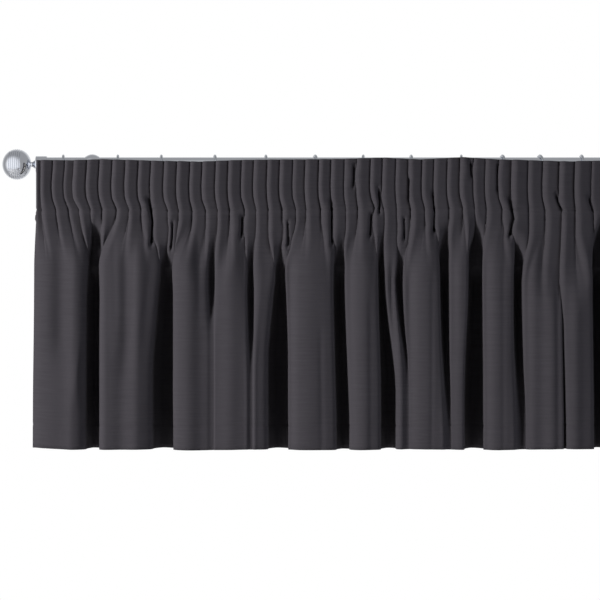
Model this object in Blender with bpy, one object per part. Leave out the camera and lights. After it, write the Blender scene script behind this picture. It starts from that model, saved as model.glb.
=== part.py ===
"""A short curtain (valance) with a pencil-pleat heading, on rings on a thin metal pole.

Metres, +Z up. The wall is the plane Y = 0, the room is on the -Y side, and the origin is on the
wall at the height of the pole's axis, midway between the two brackets. +X is to the right of
someone who looks at the curtain from the room.
"""

import math

import bmesh
import bpy
import numpy as np

MM = 0.001
GAP = 0.3 * MM

# Pole and what is fitted to it
WALL_TO_POLE = 75 * MM
POLE_RADIUS = 10 * MM
POLE_LENGTH = 872 * MM
POLE_SIDES = 24
POLE_BORE = POLE_RADIUS + GAP

BALL_RADIUS = 21.4 * MM
BALL_HALF_LENGTH = 20.2 * MM
BALL_PLACE = 465.3 * MM
GROOVES = 6
GROOVE_PITCH = 2.9 * MM
GROOVE_FIRST = -8.9 * MM
GROOVE_WIDTH = 1.5 * MM
GROOVE_DEPTH = 1.1 * MM
NECK_RADIUS = 3.3 * MM
NECK_LENGTH = 0.8 * MM
NECK_WAIST = 0.2 * MM
BELL_SHARES = (0.35, 0.7, 1.0)
BELL_CURVE = 1.4
BELL_RADIUS = 7.6 * MM
COLLAR_RADIUS = 11.6 * MM
COLLAR_START = 26.9 * MM
COLLAR_END = 41.8 * MM
FINIAL_SIDES = 20

BRACKET_PLACE = 360 * MM
HOLDER_RADIUS = 14.2 * MM
HOLDER_HALF_LENGTH = 14.3 * MM
HOLDER_LIP_RADIUS = 11.2 * MM
HOLDER_LIP_END = 9.5 * MM
PLATE_RADIUS = 17 * MM
PLATE_THICKNESS = 5 * MM
PLATE_RIM = 2 * MM
PLATE_COVE = 7 * MM
ARM_RADIUS = 5 * MM
ARM_DROP = 7 * MM
ARM_END = -WALL_TO_POLE + 4.75 * MM
BRACKET_SIDES = 24

RING_RADIUS = 15.5 * MM
RING_WIRE = 1.8 * MM
RING_DROP = 3.4 * MM
EYE_RADIUS = 3.2 * MM
EYE_WIRE = 1.0 * MM
EYE_HEIGHT = -RING_DROP - RING_RADIUS - RING_WIRE - EYE_RADIUS
HOOK_WIRE = 0.75 * MM
HOOK_IN_EYE = 0.8 * MM
HOOK_PRONG = 24 * MM
HOOK_END = 6 * MM
HOOK_BEND = 2 * MM

# Each ring: its place along the pole in mm and the turn, in degrees, at which it has come to hang
RINGS = (
    {"x": -400.5, "turn": 5},
    {"x": -324.4, "turn": 4},
    {"x": -263.9, "turn": 6},
    {"x": -189.2, "turn": 8},
    {"x": -118.1, "turn": 5},
    {"x": -49.4, "turn": 11},
    {"x": 18.0, "turn": -6},
    {"x": 84.5, "turn": 4},
    {"x": 154.6, "turn": -5},
    {"x": 211.8, "turn": 9},
    {"x": 264.1, "turn": 12},
    {"x": 322.1, "turn": 4},
    {"x": 400.5, "turn": -5},
)

# Cloth
CLOTH = 1.2 * MM
TOP = 4.5 * MM
DROP = 400 * MM
GATHERED_WIDTH = 870.2 * MM
LEFT_EDGE = -GATHERED_WIDTH / 2
PLEAT_FLOOR_Y = -WALL_TO_POLE - 22 * MM
PLEAT_DEPTH = 10 * MM
USUAL_PLEAT = 17.8 * MM
PLEAT_UNEVENNESS = 0.8 * MM
PINCHED = 0.52
FRONT_Y = PLEAT_FLOOR_Y - PLEAT_DEPTH - 2.5 * MM
SEAM = 70 * MM
FOLDS_FORMED = 160 * MM
STIFFNESS = 4
COLUMNS_PER_PLEAT = 4

# Rows of the cloth's points, in mm below the top
ROWS = (0, 34, 62, 72, 88, 112, 140, 180, 270, 400)

# Gathering tape behind the pleats
TAPE = 0.8 * MM
TAPE_GAP = 1.2 * MM
TAPE_DEPTH = 2 * MM
TAPE_ROWS = (4, 71)

# Runs of pleats from the left: how many, and how wide each one is when drawn up, in mm
PLEAT_RUNS = (
    {"pleats": 1, "pitch": 6.2},
    {"pleats": 1, "pitch": 17.1},
    {"pleats": 1, "pitch": 16.5},
    {"pleats": 1, "pitch": 12.4},
    {"pleats": 1, "pitch": 18.0},
    {"pleats": 33, "pitch": 17.8},
    {"pleats": 5, "pitch": 21.8},
    {"pleats": 6, "pitch": 17.27},
)

# One pleat in plan, from its groove to the next one, as shares of its width and its depth: out of the
# pinched groove, a short bright left side, a crest, a long right flank, and the next pinched groove
PLEAT_SHAPE = (
    {"across": 0.000, "raised": 0.00},
    {"across": 0.008, "raised": 0.10},
    {"across": 0.014, "raised": 0.50},
    {"across": 0.060, "raised": 0.66},
    {"across": 0.115, "raised": 0.84},
    {"across": 0.170, "raised": 0.95},
    {"across": 0.230, "raised": 1.00},
    {"across": 0.370, "raised": 0.95},
    {"across": 0.580, "raised": 0.82},
    {"across": 0.800, "raised": 0.68},
    {"across": 0.950, "raised": 0.58},
    {"across": 0.988, "raised": 0.50},
    {"across": 0.992, "raised": 0.10},
    {"across": 1.000, "raised": 0.00},
)

# The valleys between the folds, in mm. left and right are the valley's mouth, from the cloth's left
# edge, where the folds have just formed (high) and at the hem (low). tip is how far below the top the
# valley starts, open how much further down its mouth has its full width, settle where it has reached
# its low form, lip how far the fold on its left is rounded, and under how far the fold on its right
# overhangs it (below zero: how gently it rises).
VALLEYS = (
    {
        "tip": 86, "open": 100, "high": (68, 88.5), "low": (66.5, 87.8),
        "deep": (42, 46), "settle": 400, "lip": 14, "under": 5,
    },
    {
        "tip": 122, "open": 60, "high": (168, 190), "low": (158, 190),
        "deep": (42, 48), "settle": 300, "lip": 16, "under": 5,
    },
    {
        "tip": 106, "open": 40, "high": (236.5, 249.5), "low": (238, 247),
        "deep": (15, 2), "settle": 240, "lip": 12, "under": -3,
    },
    {
        "tip": 116, "open": 60, "high": (290, 304), "low": (292, 301),
        "deep": (20, 3), "settle": 300, "lip": 5, "under": -2,
    },
    {
        "tip": 124, "open": 60, "high": (327, 346), "low": (317, 349),
        "deep": (40, 47), "settle": 280, "lip": 12, "under": 2,
    },
    {
        "tip": 112, "open": 35, "high": (408.5, 430), "low": (412.5, 436.5),
        "deep": (36, 34), "settle": 380, "lip": 8, "under": -3,
    },
    {
        "tip": 108, "open": 50, "high": (470.5, 485.5), "low": (473.5, 501),
        "deep": (34, 42), "settle": 330, "lip": 6, "under": -3,
    },
    {
        "tip": 122, "open": 40, "high": (494.5, 511.5), "low": (510.5, 517),
        "deep": (26, 3), "settle": 330, "lip": 4, "under": -4,
    },
    {
        "tip": 96, "open": 30, "high": (556, 573.5), "low": (563, 575),
        "deep": (34, 5), "settle": 400, "lip": 6, "under": -2,
    },
    {
        "tip": 86, "open": 40, "high": (596, 618), "low": (590, 619.5),
        "deep": (42, 47), "settle": 330, "lip": 4, "under": 0,
    },
    {
        "tip": 106, "open": 50, "high": (657.5, 675), "low": (661, 679.5),
        "deep": (34, 10), "settle": 400, "lip": 6, "under": -3,
    },
    {
        "tip": 180, "open": 60, "high": (724.6, 729), "low": (728, 734),
        "deep": (4, 12), "settle": 400, "lip": 3, "under": -2,
    },
    {
        "tip": 86, "open": 30, "high": (767, 785.5), "low": (768.5, 791.5),
        "deep": (42, 47), "settle": 360, "lip": 8, "under": 3,
    },
)
SKIRT_LEFT_END = {"high": -2.6 * MM, "low": -4.6 * MM, "set_back": 7 * MM}
SKIRT_RIGHT_END = {"high": 2 * MM, "low": 3 * MM, "set_back": 9 * MM}

# Soft swells of the folds' faces, in mm: the place of each crest from the left edge, how far it stands
# out (below zero: a hollow), its half width, and how far below the top it starts and ends
SWELLS = (
    {"x": 34, "out": -5.0, "half": 12, "from": 95, "to": 290},
    {"x": 58, "out": 4.5, "half": 11, "from": 95, "to": 290},
    {"x": 54, "out": 5.5, "half": 14, "from": 270, "to": 400},
    {"x": 94, "out": 1.5, "half": 6, "from": 110, "to": 400},
    {"x": 125, "out": -4.0, "half": 9, "from": 95, "to": 260},
    {"x": 118, "out": -3.5, "half": 12, "from": 240, "to": 400},
    {"x": 142, "out": 3.0, "half": 11, "from": 95, "to": 400},
    {"x": 212, "out": 5.0, "half": 15, "from": 100, "to": 400},
    {"x": 268, "out": 3.5, "half": 13, "from": 100, "to": 400},
    {"x": 350, "out": -6.0, "half": 8, "from": 110, "to": 400},
    {"x": 377, "out": 1.5, "half": 14, "from": 110, "to": 400},
    {"x": 431, "out": -5.5, "half": 8, "from": 110, "to": 400},
    {"x": 454, "out": 2.0, "half": 10, "from": 110, "to": 400},
    {"x": 491, "out": -11.0, "half": 8, "from": 110, "to": 400},
    {"x": 514, "out": -8.0, "half": 9, "from": 110, "to": 400},
    {"x": 538, "out": 1.5, "half": 12, "from": 110, "to": 400},
    {"x": 575, "out": -5.0, "half": 7, "from": 110, "to": 400},
    {"x": 621, "out": -5.5, "half": 7, "from": 110, "to": 400},
    {"x": 678, "out": -4.0, "half": 6, "from": 110, "to": 400},
    {"x": 697, "out": -1.0, "half": 8, "from": 110, "to": 400},
    {"x": 712, "out": 2.5, "half": 8, "from": 110, "to": 400},
    {"x": 744, "out": 3.5, "half": 9, "from": 110, "to": 400},
    {"x": 825, "out": -4.0, "half": 15, "from": 110, "to": 400},
)

# How the two long edges wander, in mm: rise of the top and fall of the hem, from the left edge
EDGES = (
    {"x": 0, "rise": 0.0, "fall": -2.5},
    {"x": 50, "rise": -0.4, "fall": 0.0},
    {"x": 92, "rise": 1.0, "fall": 0.2},
    {"x": 165, "rise": -1.1, "fall": 0.0},
    {"x": 225, "rise": -2.2, "fall": 0.9},
    {"x": 290, "rise": 0.1, "fall": 0.0},
    {"x": 420, "rise": 1.2, "fall": 0.8},
    {"x": 480, "rise": 3.2, "fall": 0.3},
    {"x": 530, "rise": 0.6, "fall": -0.4},
    {"x": 588, "rise": 3.8, "fall": 0.4},
    {"x": 640, "rise": 0.6, "fall": 0.7},
    {"x": 737, "rise": -2.2, "fall": -0.8},
    {"x": 800, "rise": -0.4, "fall": 0.0},
    {"x": 870, "rise": 0.0, "fall": 0.0},
)

# How the pleats lean, in mm: a bow to the left half way down the heading and a kick to the right by
# the seam's tuck, both stronger near the left end and none at the cloth's two side hems
BOW = {"usual": 0.9, "at_left": 1.8, "height": 36, "half": 20}
KICK = {"usual": 2.4, "at_left": 4.6, "wander": 1.6, "grows": (50, 71), "fades": (80, 160)}
LEFT_REACH = 150 * MM
SIDE_HEM = 12 * MM

# The pleats' depth as a share of the usual one: least and most by their width, how far it wanders and
# how much the seam presses it in; and how far below the seam the pinched grooves have opened
FULLNESS = (0.45, 1.25)
DEPTH_WANDER = 0.14
SEAM_PRESS = 0.16
SEAM_HALF = 6 * MM
GROOVES_OPEN = 16 * MM
PLEAT_STEPS = 12

# A valley's lips: how deep one is for its lips to be fully rounded, how far the left lip tucks in, and
# how far past the mouth the right fold's face starts
FULLY_ROUNDED = 20 * MM
LIP_TUCK = 1 * MM
FACE_START = 4.5 * MM
FOLD_STEPS = 20

# The plan's two ends: how far in from the side hem the face has turned to the front, and how far back
# it still is there
END_TURN = {"left": 8 * MM, "right": 9 * MM, "back": 2 * MM}

# Over what height, in mm, a swell grows and fades, and how deep in a valley it has died away
SWELL_GROWS = 50
SWELL_FADES = 60
SWELL_DEPTH = 6 * MM

# How the pleats turn into folds, in mm: where, below the top, the pleats start and end to move aside
# and the folds' faces to flatten, and where, from a valley's tip, its floor does the same. The
# valley's walls follow later.
PLEATS_PART = (66, 150)
FACES_OPEN = (72, 150)
VALLEY_OPENS = (-14, 50)
MOUTH_GATHERS = (-20, 56)
WALL_DELAY = 22

# How far to each side of its floor a valley leads, where its walls stand and how wide they are, in
# pleats
VALLEY_REACH = 1.5
WALL_PLACE = 0.9
WALL_HALF = 0.45

# How far back of the pleats' floor the cloth can go below the tape, and how far below the seam
BACK_ROOM = 9 * MM
BACK_ROOM_GROWS = 20 * MM

# The mouth of a valley at its tip: the place that it opens from (0 left, 1 right), and its share of
# its full width
MOUTH_ANCHOR = 0.65
NARROWEST = 0.5

# Which of a valley's points is its floor
FLOOR_POINT = 3


def clear_scene():
    for obj in list(bpy.data.objects):
        bpy.data.objects.remove(obj)


def linear(channel):
    """One sRGB channel, 0 to 1, as linear light."""
    return channel / 12.92 if channel <= 0.04045 else ((channel + 0.055) / 1.055) ** 2.4


def material(name, colour, roughness, metallic=0.0):
    made = bpy.data.materials.new(name)
    made.use_nodes = True
    shader = made.node_tree.nodes["Principled BSDF"]
    red, green, blue = (linear(int(colour[at : at + 2], 16) / 255) for at in (1, 3, 5))
    shader.inputs["Base Color"].default_value = (red, green, blue, 1)
    shader.inputs["Roughness"].default_value = roughness
    shader.inputs["Metallic"].default_value = metallic
    return made


def add_mesh(name, bm, skin, sharp_angle=None):
    """The bmesh as an object, shaded smooth but for edges sharper than the given angle."""
    mesh = bpy.data.meshes.new(name)
    bm.to_mesh(mesh)
    bm.free()
    mesh.materials.append(skin)
    if sharp_angle is not None:
        mesh.shade_smooth()
        mesh.set_sharp_from_angle(angle=math.radians(sharp_angle))
    obj = bpy.data.objects.new(name, mesh)
    bpy.context.scene.collection.objects.link(obj)
    return obj


def turned(profile, axis, sides):
    """A closed body of revolution about X or Y, from (place along the axis, radius) points."""
    bm = bmesh.new()
    if axis == "X":
        places = [(along, 0, radius) for along, radius in profile]
        direction = (1, 0, 0)
    else:
        places = [(0, along, radius) for along, radius in profile]
        direction = (0, 1, 0)
    verts = [bm.verts.new(place) for place in places]
    edges = [bm.edges.new(pair) for pair in zip(verts, verts[1:])]
    bmesh.ops.spin(
        bm,
        geom=verts + edges,
        cent=(0, 0, 0),
        axis=direction,
        angle=math.tau,
        steps=sides,
        use_merge=True,
    )
    bmesh.ops.remove_doubles(bm, verts=bm.verts, dist=1e-6)
    bmesh.ops.recalc_face_normals(bm, faces=bm.faces)
    return bm


def boolean(obj, operation, other):
    cut = obj.modifiers.new(operation.lower(), "BOOLEAN")
    cut.operation = operation
    cut.object = other
    other.hide_render = True
    other.display_type = "WIRE"


# Pole, finials and brackets


def make_pole(steel):
    half = POLE_LENGTH / 2
    profile = ((-half, 0), (-half, POLE_RADIUS), (half, POLE_RADIUS), (half, 0))
    pole = add_mesh("pole", turned(profile, "X", POLE_SIDES), steel, 40)
    pole.location.y = -WALL_TO_POLE


def ball_surface(along):
    """Radius of the slightly flattened ball at a place along the pole."""
    return BALL_RADIUS * math.sqrt(1 - (along / BALL_HALF_LENGTH) ** 2)


def ball_arc(start, end, steps):
    """Points (along, radius) on the ball, from one angle to another, in degrees from its free end."""
    angles = np.radians(np.linspace(start, end, steps + 1))
    return [(-BALL_HALF_LENGTH * math.cos(a), BALL_RADIUS * math.sin(a)) for a in angles]


def finial_profile():
    """Ball, neck, bell and collar, from the free end; the collar is bored to take the pole."""
    groove_last = GROOVE_FIRST + (GROOVES - 1) * GROOVE_PITCH
    first_angle = math.degrees(math.acos((-GROOVE_FIRST + GROOVE_WIDTH) / BALL_HALF_LENGTH))
    last_angle = math.degrees(math.acos(-(groove_last + GROOVE_WIDTH) / BALL_HALF_LENGTH))
    neck_angle = 180 - math.degrees(math.asin(NECK_RADIUS / BALL_RADIUS))
    profile = [(-BALL_HALF_LENGTH, 0)] + ball_arc(0, first_angle, 4)[1:]
    for number in range(GROOVES):
        middle = GROOVE_FIRST + number * GROOVE_PITCH
        before, after = middle - GROOVE_WIDTH / 2, middle + GROOVE_WIDTH / 2
        profile.append((before, ball_surface(before)))
        profile.append((middle, ball_surface(middle) - GROOVE_DEPTH))
        profile.append((after, ball_surface(after)))
    profile += ball_arc(last_angle, neck_angle, 5)
    bell_start = BALL_HALF_LENGTH + NECK_LENGTH
    profile.append((bell_start, NECK_RADIUS - NECK_WAIST))
    bell_length = COLLAR_START - bell_start
    for share in BELL_SHARES:
        flare = (BELL_RADIUS - NECK_RADIUS) * share**BELL_CURVE
        profile.append((bell_start + bell_length * share, NECK_RADIUS + flare))
    profile += [(COLLAR_START, COLLAR_RADIUS), (COLLAR_END, COLLAR_RADIUS), (COLLAR_END, POLE_BORE)]
    bore_end = BALL_PLACE - POLE_LENGTH / 2 - GAP
    profile += [(bore_end, POLE_BORE), (bore_end, 0)]
    return profile


def make_finials(steel):
    for name, side in (("finial_left", -1), ("finial_right", 1)):
        bm = turned(finial_profile(), "X", FINIAL_SIDES)
        finial = add_mesh(name, bm, steel, 35)
        finial.location = (side * BALL_PLACE, -WALL_TO_POLE, 0)
        finial.rotation_euler.z = 0 if side < 0 else math.pi


def holder_profile():
    """The rounded holder that the pole lies in, with a slim lip each side, solid until bored."""
    dome_end = HOLDER_HALF_LENGTH * math.sqrt(1 - (HOLDER_LIP_RADIUS / HOLDER_RADIUS) ** 2)
    dome = []
    for along in np.linspace(-dome_end, dome_end, 9):
        radius = HOLDER_RADIUS * math.sqrt(1 - (along / HOLDER_HALF_LENGTH) ** 2)
        dome.append((float(along), radius))
    ends = [(-HOLDER_LIP_END, 0), (-HOLDER_LIP_END, HOLDER_LIP_RADIUS)]
    mirrored = [(-along, radius) for along, radius in reversed(ends)]
    return ends + dome + mirrored


def bracket_profile():
    """Wall plate with a rounded rim, a cove and the arm, from the wall forwards along -Y."""
    profile = [(0, 0), (0, PLATE_RADIUS)]
    profile += [(-PLATE_THICKNESS + PLATE_RIM, PLATE_RADIUS), (-PLATE_THICKNESS, PLATE_RADIUS - PLATE_RIM)]
    for angle in (0, 30, 60, 90):
        turn = math.radians(angle)
        inward = ARM_RADIUS + PLATE_COVE * (1 - math.sin(turn))
        profile.append((-PLATE_THICKNESS - PLATE_COVE * (1 - math.cos(turn)), inward))
    return profile + [(ARM_END, ARM_RADIUS), (ARM_END, 0)]


def make_brackets(steel):
    bore_half = 2 * HOLDER_HALF_LENGTH
    bore_profile = ((-bore_half, 0), (-bore_half, POLE_BORE), (bore_half, POLE_BORE), (bore_half, 0))
    for name, side in (("bracket_left", -1), ("bracket_right", 1)):
        bracket = add_mesh(name, turned(bracket_profile(), "Y", BRACKET_SIDES), steel, 35)
        holder = add_mesh(name + "_holder", turned(holder_profile(), "X", BRACKET_SIDES), steel, 35)
        bore = add_mesh(name + "_bore", turned(bore_profile, "X", POLE_SIDES), steel)
        bracket.location = (side * BRACKET_PLACE, 0, -ARM_DROP)
        for helper in (holder, bore):
            helper.location = (side * BRACKET_PLACE, -WALL_TO_POLE, 0)
        boolean(bracket, "UNION", holder)
        boolean(bracket, "DIFFERENCE", bore)


# Rings and hooks


def torus(radius, wire, around, sides, axis):
    """A closed torus about X or Y, made by spinning a small circle."""
    bm = bmesh.new()
    made = bmesh.ops.create_circle(bm, segments=sides, radius=wire)
    for vert in made["verts"]:
        across, up = vert.co.x, vert.co.y
        vert.co = (across, 0, radius + up) if axis == "X" else (0, across, radius + up)
    bmesh.ops.spin(
        bm,
        geom=bm.verts[:] + bm.edges[:],
        cent=(0, 0, 0),
        axis=(1, 0, 0) if axis == "X" else (0, 1, 0),
        angle=math.tau,
        steps=around,
        use_merge=True,
    )
    bmesh.ops.remove_doubles(bm, verts=bm.verts, dist=1e-6)
    bmesh.ops.recalc_face_normals(bm, faces=bm.faces)
    return bm


def make_rings(steel):
    """Round wire rings that hang on the pole, each with a small eye welded under it for the hook."""
    for number, ring in enumerate(RINGS, 1):
        name = f"ring_{number:02d}"
        hoop = add_mesh(name, torus(RING_RADIUS, RING_WIRE, 16, 5, "X"), steel, 60)
        eye = add_mesh(name + "_eye", torus(EYE_RADIUS, EYE_WIRE, 6, 4, "Y"), steel)
        hoop.location = (ring["x"] * MM, -WALL_TO_POLE, -RING_DROP)
        hoop.rotation_euler.z = math.radians(ring["turn"])
        eye.location = (ring["x"] * MM, -WALL_TO_POLE, EYE_HEIGHT)
        eye.rotation_euler.z = hoop.rotation_euler.z
        boolean(hoop, "UNION", eye)


def make_hooks(steel):
    """Wire hooks: a prong up the back of the tape, a run back through the ring's eye, a turned end."""
    tape_back = PLEAT_FLOOR_Y + CLOTH / 2 + TAPE_GAP + TAPE
    prong_y = tape_back + GAP + HOOK_WIRE
    through = EYE_HEIGHT - HOOK_IN_EYE
    route = (
        (prong_y, through - HOOK_PRONG),
        (prong_y, through - 3 * HOOK_BEND),
        (prong_y + HOOK_BEND, through - HOOK_BEND),
        (prong_y + 3.5 * HOOK_BEND, through),
        (-WALL_TO_POLE + HOOK_END - 1.5 * HOOK_BEND, through),
        (-WALL_TO_POLE + HOOK_END - 0.25 * HOOK_BEND, through - HOOK_BEND),
        (-WALL_TO_POLE + HOOK_END, through - 3 * HOOK_BEND),
    )
    curve = bpy.data.curves.new("hook", "CURVE")
    curve.dimensions = "3D"
    curve.bevel_depth = HOOK_WIRE
    curve.bevel_resolution = 0
    curve.use_fill_caps = True
    curve.materials.append(steel)
    spline = curve.splines.new("POLY")
    spline.points.add(len(route) - 1)
    for point, (y, z) in zip(spline.points, route):
        point.co = (0, y, z, 1)
    for number, ring in enumerate(RINGS, 1):
        hook = bpy.data.objects.new(f"hook_{number:02d}", curve)
        hook.location.x = ring["x"] * MM
        bpy.context.scene.collection.objects.link(hook)


# Cloth


def ease(share):
    """0 to 1 with soft ends."""
    share = np.clip(share, 0, 1)
    return share * share * (3 - 2 * share)


def bell(away, half):
    """1 in the middle, fading over the half width on both sides."""
    return np.exp(-((away / half) ** 2))


def passed(height, span):
    """0 above a span of heights, in mm below the top, and 1 below it, with soft ends."""
    return ease((height / MM - span[0]) / (span[1] - span[0]))


def smooth_curve(points, steps):
    """A smooth curve through the points, each span cut in equal steps. Long spans stay nearly flat."""
    points = np.array(points)
    spans = np.linalg.norm(np.diff(points, axis=0), axis=1)
    slope = np.gradient(points, np.concatenate([[0], np.cumsum(spans)]), axis=0)
    shorter = np.minimum(np.append(spans, spans[-1]), np.append(spans[0], spans))
    made = []
    for number, span in enumerate(spans):
        t = (np.arange(steps) / steps)[:, None]
        leave = min(span, STIFFNESS * shorter[number]) * slope[number]
        arrive = min(span, STIFFNESS * shorter[number + 1]) * slope[number + 1]
        made.append(
            (2 * t**3 - 3 * t**2 + 1) * points[number]
            + (t**3 - 2 * t**2 + t) * leave
            + (3 * t**2 - 2 * t**3) * points[number + 1]
            + (t**3 - t**2) * arrive
        )
    return np.concatenate(made + [points[-1:]])


def pleat_grooves():
    """Place of each groove between pleats, from the cloth's left edge, the two edges included."""
    grooves = [0.0]
    for run in PLEAT_RUNS:
        for _ in range(run["pleats"]):
            grooves.append(grooves[-1] + run["pitch"] * MM)
    grooves = np.array(grooves)
    number = np.arange(1, len(grooves) - 1)
    grooves[1:-1] += PLEAT_UNEVENNESS * np.sin(2.4 * number) * np.cos(0.7 * number)
    return grooves


def pleat_plan(share):
    """One pleat's plan, as shares of its width and depth, at shares of the cloth that it takes up."""
    outline = np.array([(point["across"], point["raised"]) for point in PLEAT_SHAPE])
    curve = smooth_curve(outline * (USUAL_PLEAT, PLEAT_DEPTH), PLEAT_STEPS)
    along = np.concatenate([[0], np.cumsum(np.linalg.norm(np.diff(curve, axis=0), axis=1))])
    along /= along[-1]
    across = np.interp(share, along, curve[:, 0]) / USUAL_PLEAT
    return across, np.interp(share, along, curve[:, 1]) / PLEAT_DEPTH


def heading_plan(columns, height):
    """Plan of the pleats at one height: (x, y) of each column, columns counted in pleats."""
    grooves = pleat_grooves()
    number = np.minimum(columns.astype(int), len(grooves) - 2)
    pitch = grooves[number + 1] - grooves[number]
    across, raised = pleat_plan(columns - number)
    x = grooves[number] + pitch * across
    # The pleats bow a little to the left, and the tuck of the seam pulls them to the right.
    inner = 1 - bell(x, SIDE_HEM) - bell(x - GATHERED_WIDTH, SIDE_HEM)
    near_left = np.exp(-x / LEFT_REACH)
    bow = (BOW["usual"] + BOW["at_left"] * near_left) * MM * inner
    kick = KICK["usual"] + KICK["at_left"] * near_left + KICK["wander"] * np.sin(1.9 * columns)
    kicked = passed(height, KICK["grows"]) * (1 - passed(height, KICK["fades"]))
    x = x - bow * bell(height - BOW["height"] * MM, BOW["half"] * MM) + kick * MM * inner * kicked
    fuller = np.clip(pitch / USUAL_PLEAT, *FULLNESS)
    depth = PLEAT_DEPTH * fuller * (1 + DEPTH_WANDER * np.sin(1.7 * number))
    pressed = 1 - SEAM_PRESS * bell(height - SEAM, SEAM_HALF)
    # Below the seam the pinched grooves open, so that only the pleats' outer half is left.
    raised = np.maximum(raised, PINCHED * ease((height - SEAM) / GROOVES_OPEN))
    return x, PLEAT_FLOOR_Y - depth * pressed * raised


def valley_points(valley, height):
    """The plan of one valley at a height, from its left lip to its right."""
    low = float(ease((height - FOLDS_FORMED) / (valley["settle"] * MM - FOLDS_FORMED)))
    left, right, deep = (
        ((1 - low) * high + low * hem) * MM
        for high, hem in (
            (valley["high"][0], valley["low"][0]),
            (valley["high"][1], valley["low"][1]),
            valley["deep"],
        )
    )
    # Just below its tip the mouth is a narrow slit, and it widens down to where the folds are formed.
    opened = float(np.clip((height / MM - valley["tip"]) / valley["open"], 0, 1))
    opened = NARROWEST + (1 - NARROWEST) * opened
    middle = left + MOUTH_ANCHOR * (right - left)
    left, right = middle + (left - middle) * opened, middle + (right - middle) * opened
    soft = min(1.0, deep / FULLY_ROUNDED)
    under = valley["under"] * MM * soft
    lip = valley["lip"] * MM
    wide = right - left
    return (
        (left - lip, 0.03 * deep),
        (left - LIP_TUCK * soft, 0.45 * lip * soft),
        (left + 0.14 * wide, 0.60 * deep),
        (left + 0.52 * wide, deep),
        (right + 0.6 * under, 0.72 * deep),
        (right + under, 0.38 * deep),
        (right + 0.2 * MM, 0.10 * deep),
        (right + FACE_START * soft, 0),
    )


def valley_columns():
    """The column, counted in pleats, that each valley's floor hangs from."""
    grooves = pleat_grooves()
    middles = [sum(valley["high"]) / 2 * MM for valley in VALLEYS]
    return np.interp(middles, grooves, np.arange(len(grooves)))


def skirt_plan(columns, height):
    """Plan of the folds at one height: (x, y) of each column, evenly spaced from floor to floor."""
    low = float(ease((height - FOLDS_FORMED) / (DROP - FOLDS_FORMED)))
    left_end = (1 - low) * SKIRT_LEFT_END["high"] + low * SKIRT_LEFT_END["low"]
    right_end = (1 - low) * SKIRT_RIGHT_END["high"] + low * SKIRT_RIGHT_END["low"]
    points = [
        (left_end, SKIRT_LEFT_END["set_back"]),
        (left_end + END_TURN["left"], END_TURN["back"]),
    ]
    floors = []
    for valley in VALLEYS:
        floors.append((len(points) + FLOOR_POINT) * FOLD_STEPS)
        points += valley_points(valley, height)
    edge = GATHERED_WIDTH + right_end
    points += [
        (edge - END_TURN["right"], END_TURN["back"]),
        (edge, SKIRT_RIGHT_END["set_back"]),
    ]
    curve = smooth_curve(points, FOLD_STEPS)
    along = np.concatenate([[0], np.cumsum(np.linalg.norm(np.diff(curve, axis=0), axis=1))])
    marks = [0, *valley_columns(), columns[-1]]
    places = [0, *along[floors], along[-1]]
    place = np.interp(columns, marks, places)
    x = np.interp(place, along, curve[:, 0])
    back = np.interp(place, along, curve[:, 1])
    for swell in SWELLS:
        grown = passed(height, (swell["from"], swell["from"] + SWELL_GROWS))
        grown = grown * (1 - passed(height, (swell["to"], swell["to"] + SWELL_FADES)))
        shape = bell(x - swell["x"] * MM, swell["half"] * MM) * grown
        back = back - swell["out"] * MM * shape * np.exp(-np.maximum(back, 0) / SWELL_DEPTH)
    return x, FRONT_Y + back


def tape_wave(x):
    """How far the tape behind the pleats stands forward at x from the cloth's left edge."""
    grooves = pleat_grooves()
    turn = math.tau * np.interp(x, grooves, np.arange(len(grooves)))
    return TAPE_DEPTH * (1 - np.cos(turn)) / 2


def settled(columns, height, faces, valleys, late=0):
    """How far each column has gone from its pleat to its fold at a height, from 0 to 1.

    faces holds where the folds' faces start and end to change, in mm below the top, and valleys
    where a valley's floor does, from the valley's tip. Columns between the two blend both.
    """
    floors = valley_columns()
    marks = np.concatenate([[0], floors, [columns[-1]]])
    tips = [VALLEYS[0]["tip"], *(valley["tip"] for valley in VALLEYS), VALLEYS[-1]["tip"]]
    tip = np.interp(columns, marks, tips)
    away = np.abs(columns[:, None] - floors).min(axis=1)
    inside = bell(away, VALLEY_REACH)
    start = (1 - inside) * faces[0] + inside * (tip + valleys[0])
    end = (1 - inside) * faces[1] + inside * (tip + valleys[1])
    delay = late * bell(away - WALL_PLACE, WALL_HALF)
    return ease((height / MM - start - delay) / (end - start))


def cloth_points(columns, height):
    """World x, y and z of the cloth's middle surface at one distance below the top."""
    parted = settled(columns, height, PLEATS_PART, MOUTH_GATHERS)
    formed = settled(columns, height, FACES_OPEN, VALLEY_OPENS, WALL_DELAY)
    pleat_x, pleat_y = heading_plan(columns, height)
    fold_x, fold_y = skirt_plan(columns, height)
    x = (1 - parted) * pleat_x + parted * fold_x
    y = (1 - formed) * pleat_y + formed * fold_y
    # The cloth stays in front of the tape, and can go back only below it.
    if height <= FOLDS_FORMED:
        behind = BACK_ROOM * ease((height - SEAM) / BACK_ROOM_GROWS) - tape_wave(x)
        y = np.minimum(y, PLEAT_FLOOR_Y + behind)
    places = [edge["x"] * MM for edge in EDGES]
    rise = np.interp(x, places, [edge["rise"] * MM for edge in EDGES])
    fall = np.interp(x, places, [edge["fall"] * MM for edge in EDGES])
    share = height / DROP
    z = TOP - height + (1 - share) ** 2 * rise - share**2 * fall
    return LEFT_EDGE + x, y, z


def pleat_columns(each):
    """Places of a sheet's columns of points, counted in pleats, with so many to each pleat."""
    pleats = sum(run["pleats"] for run in PLEAT_RUNS)
    return np.arange(pleats * each + 1) / each


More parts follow.
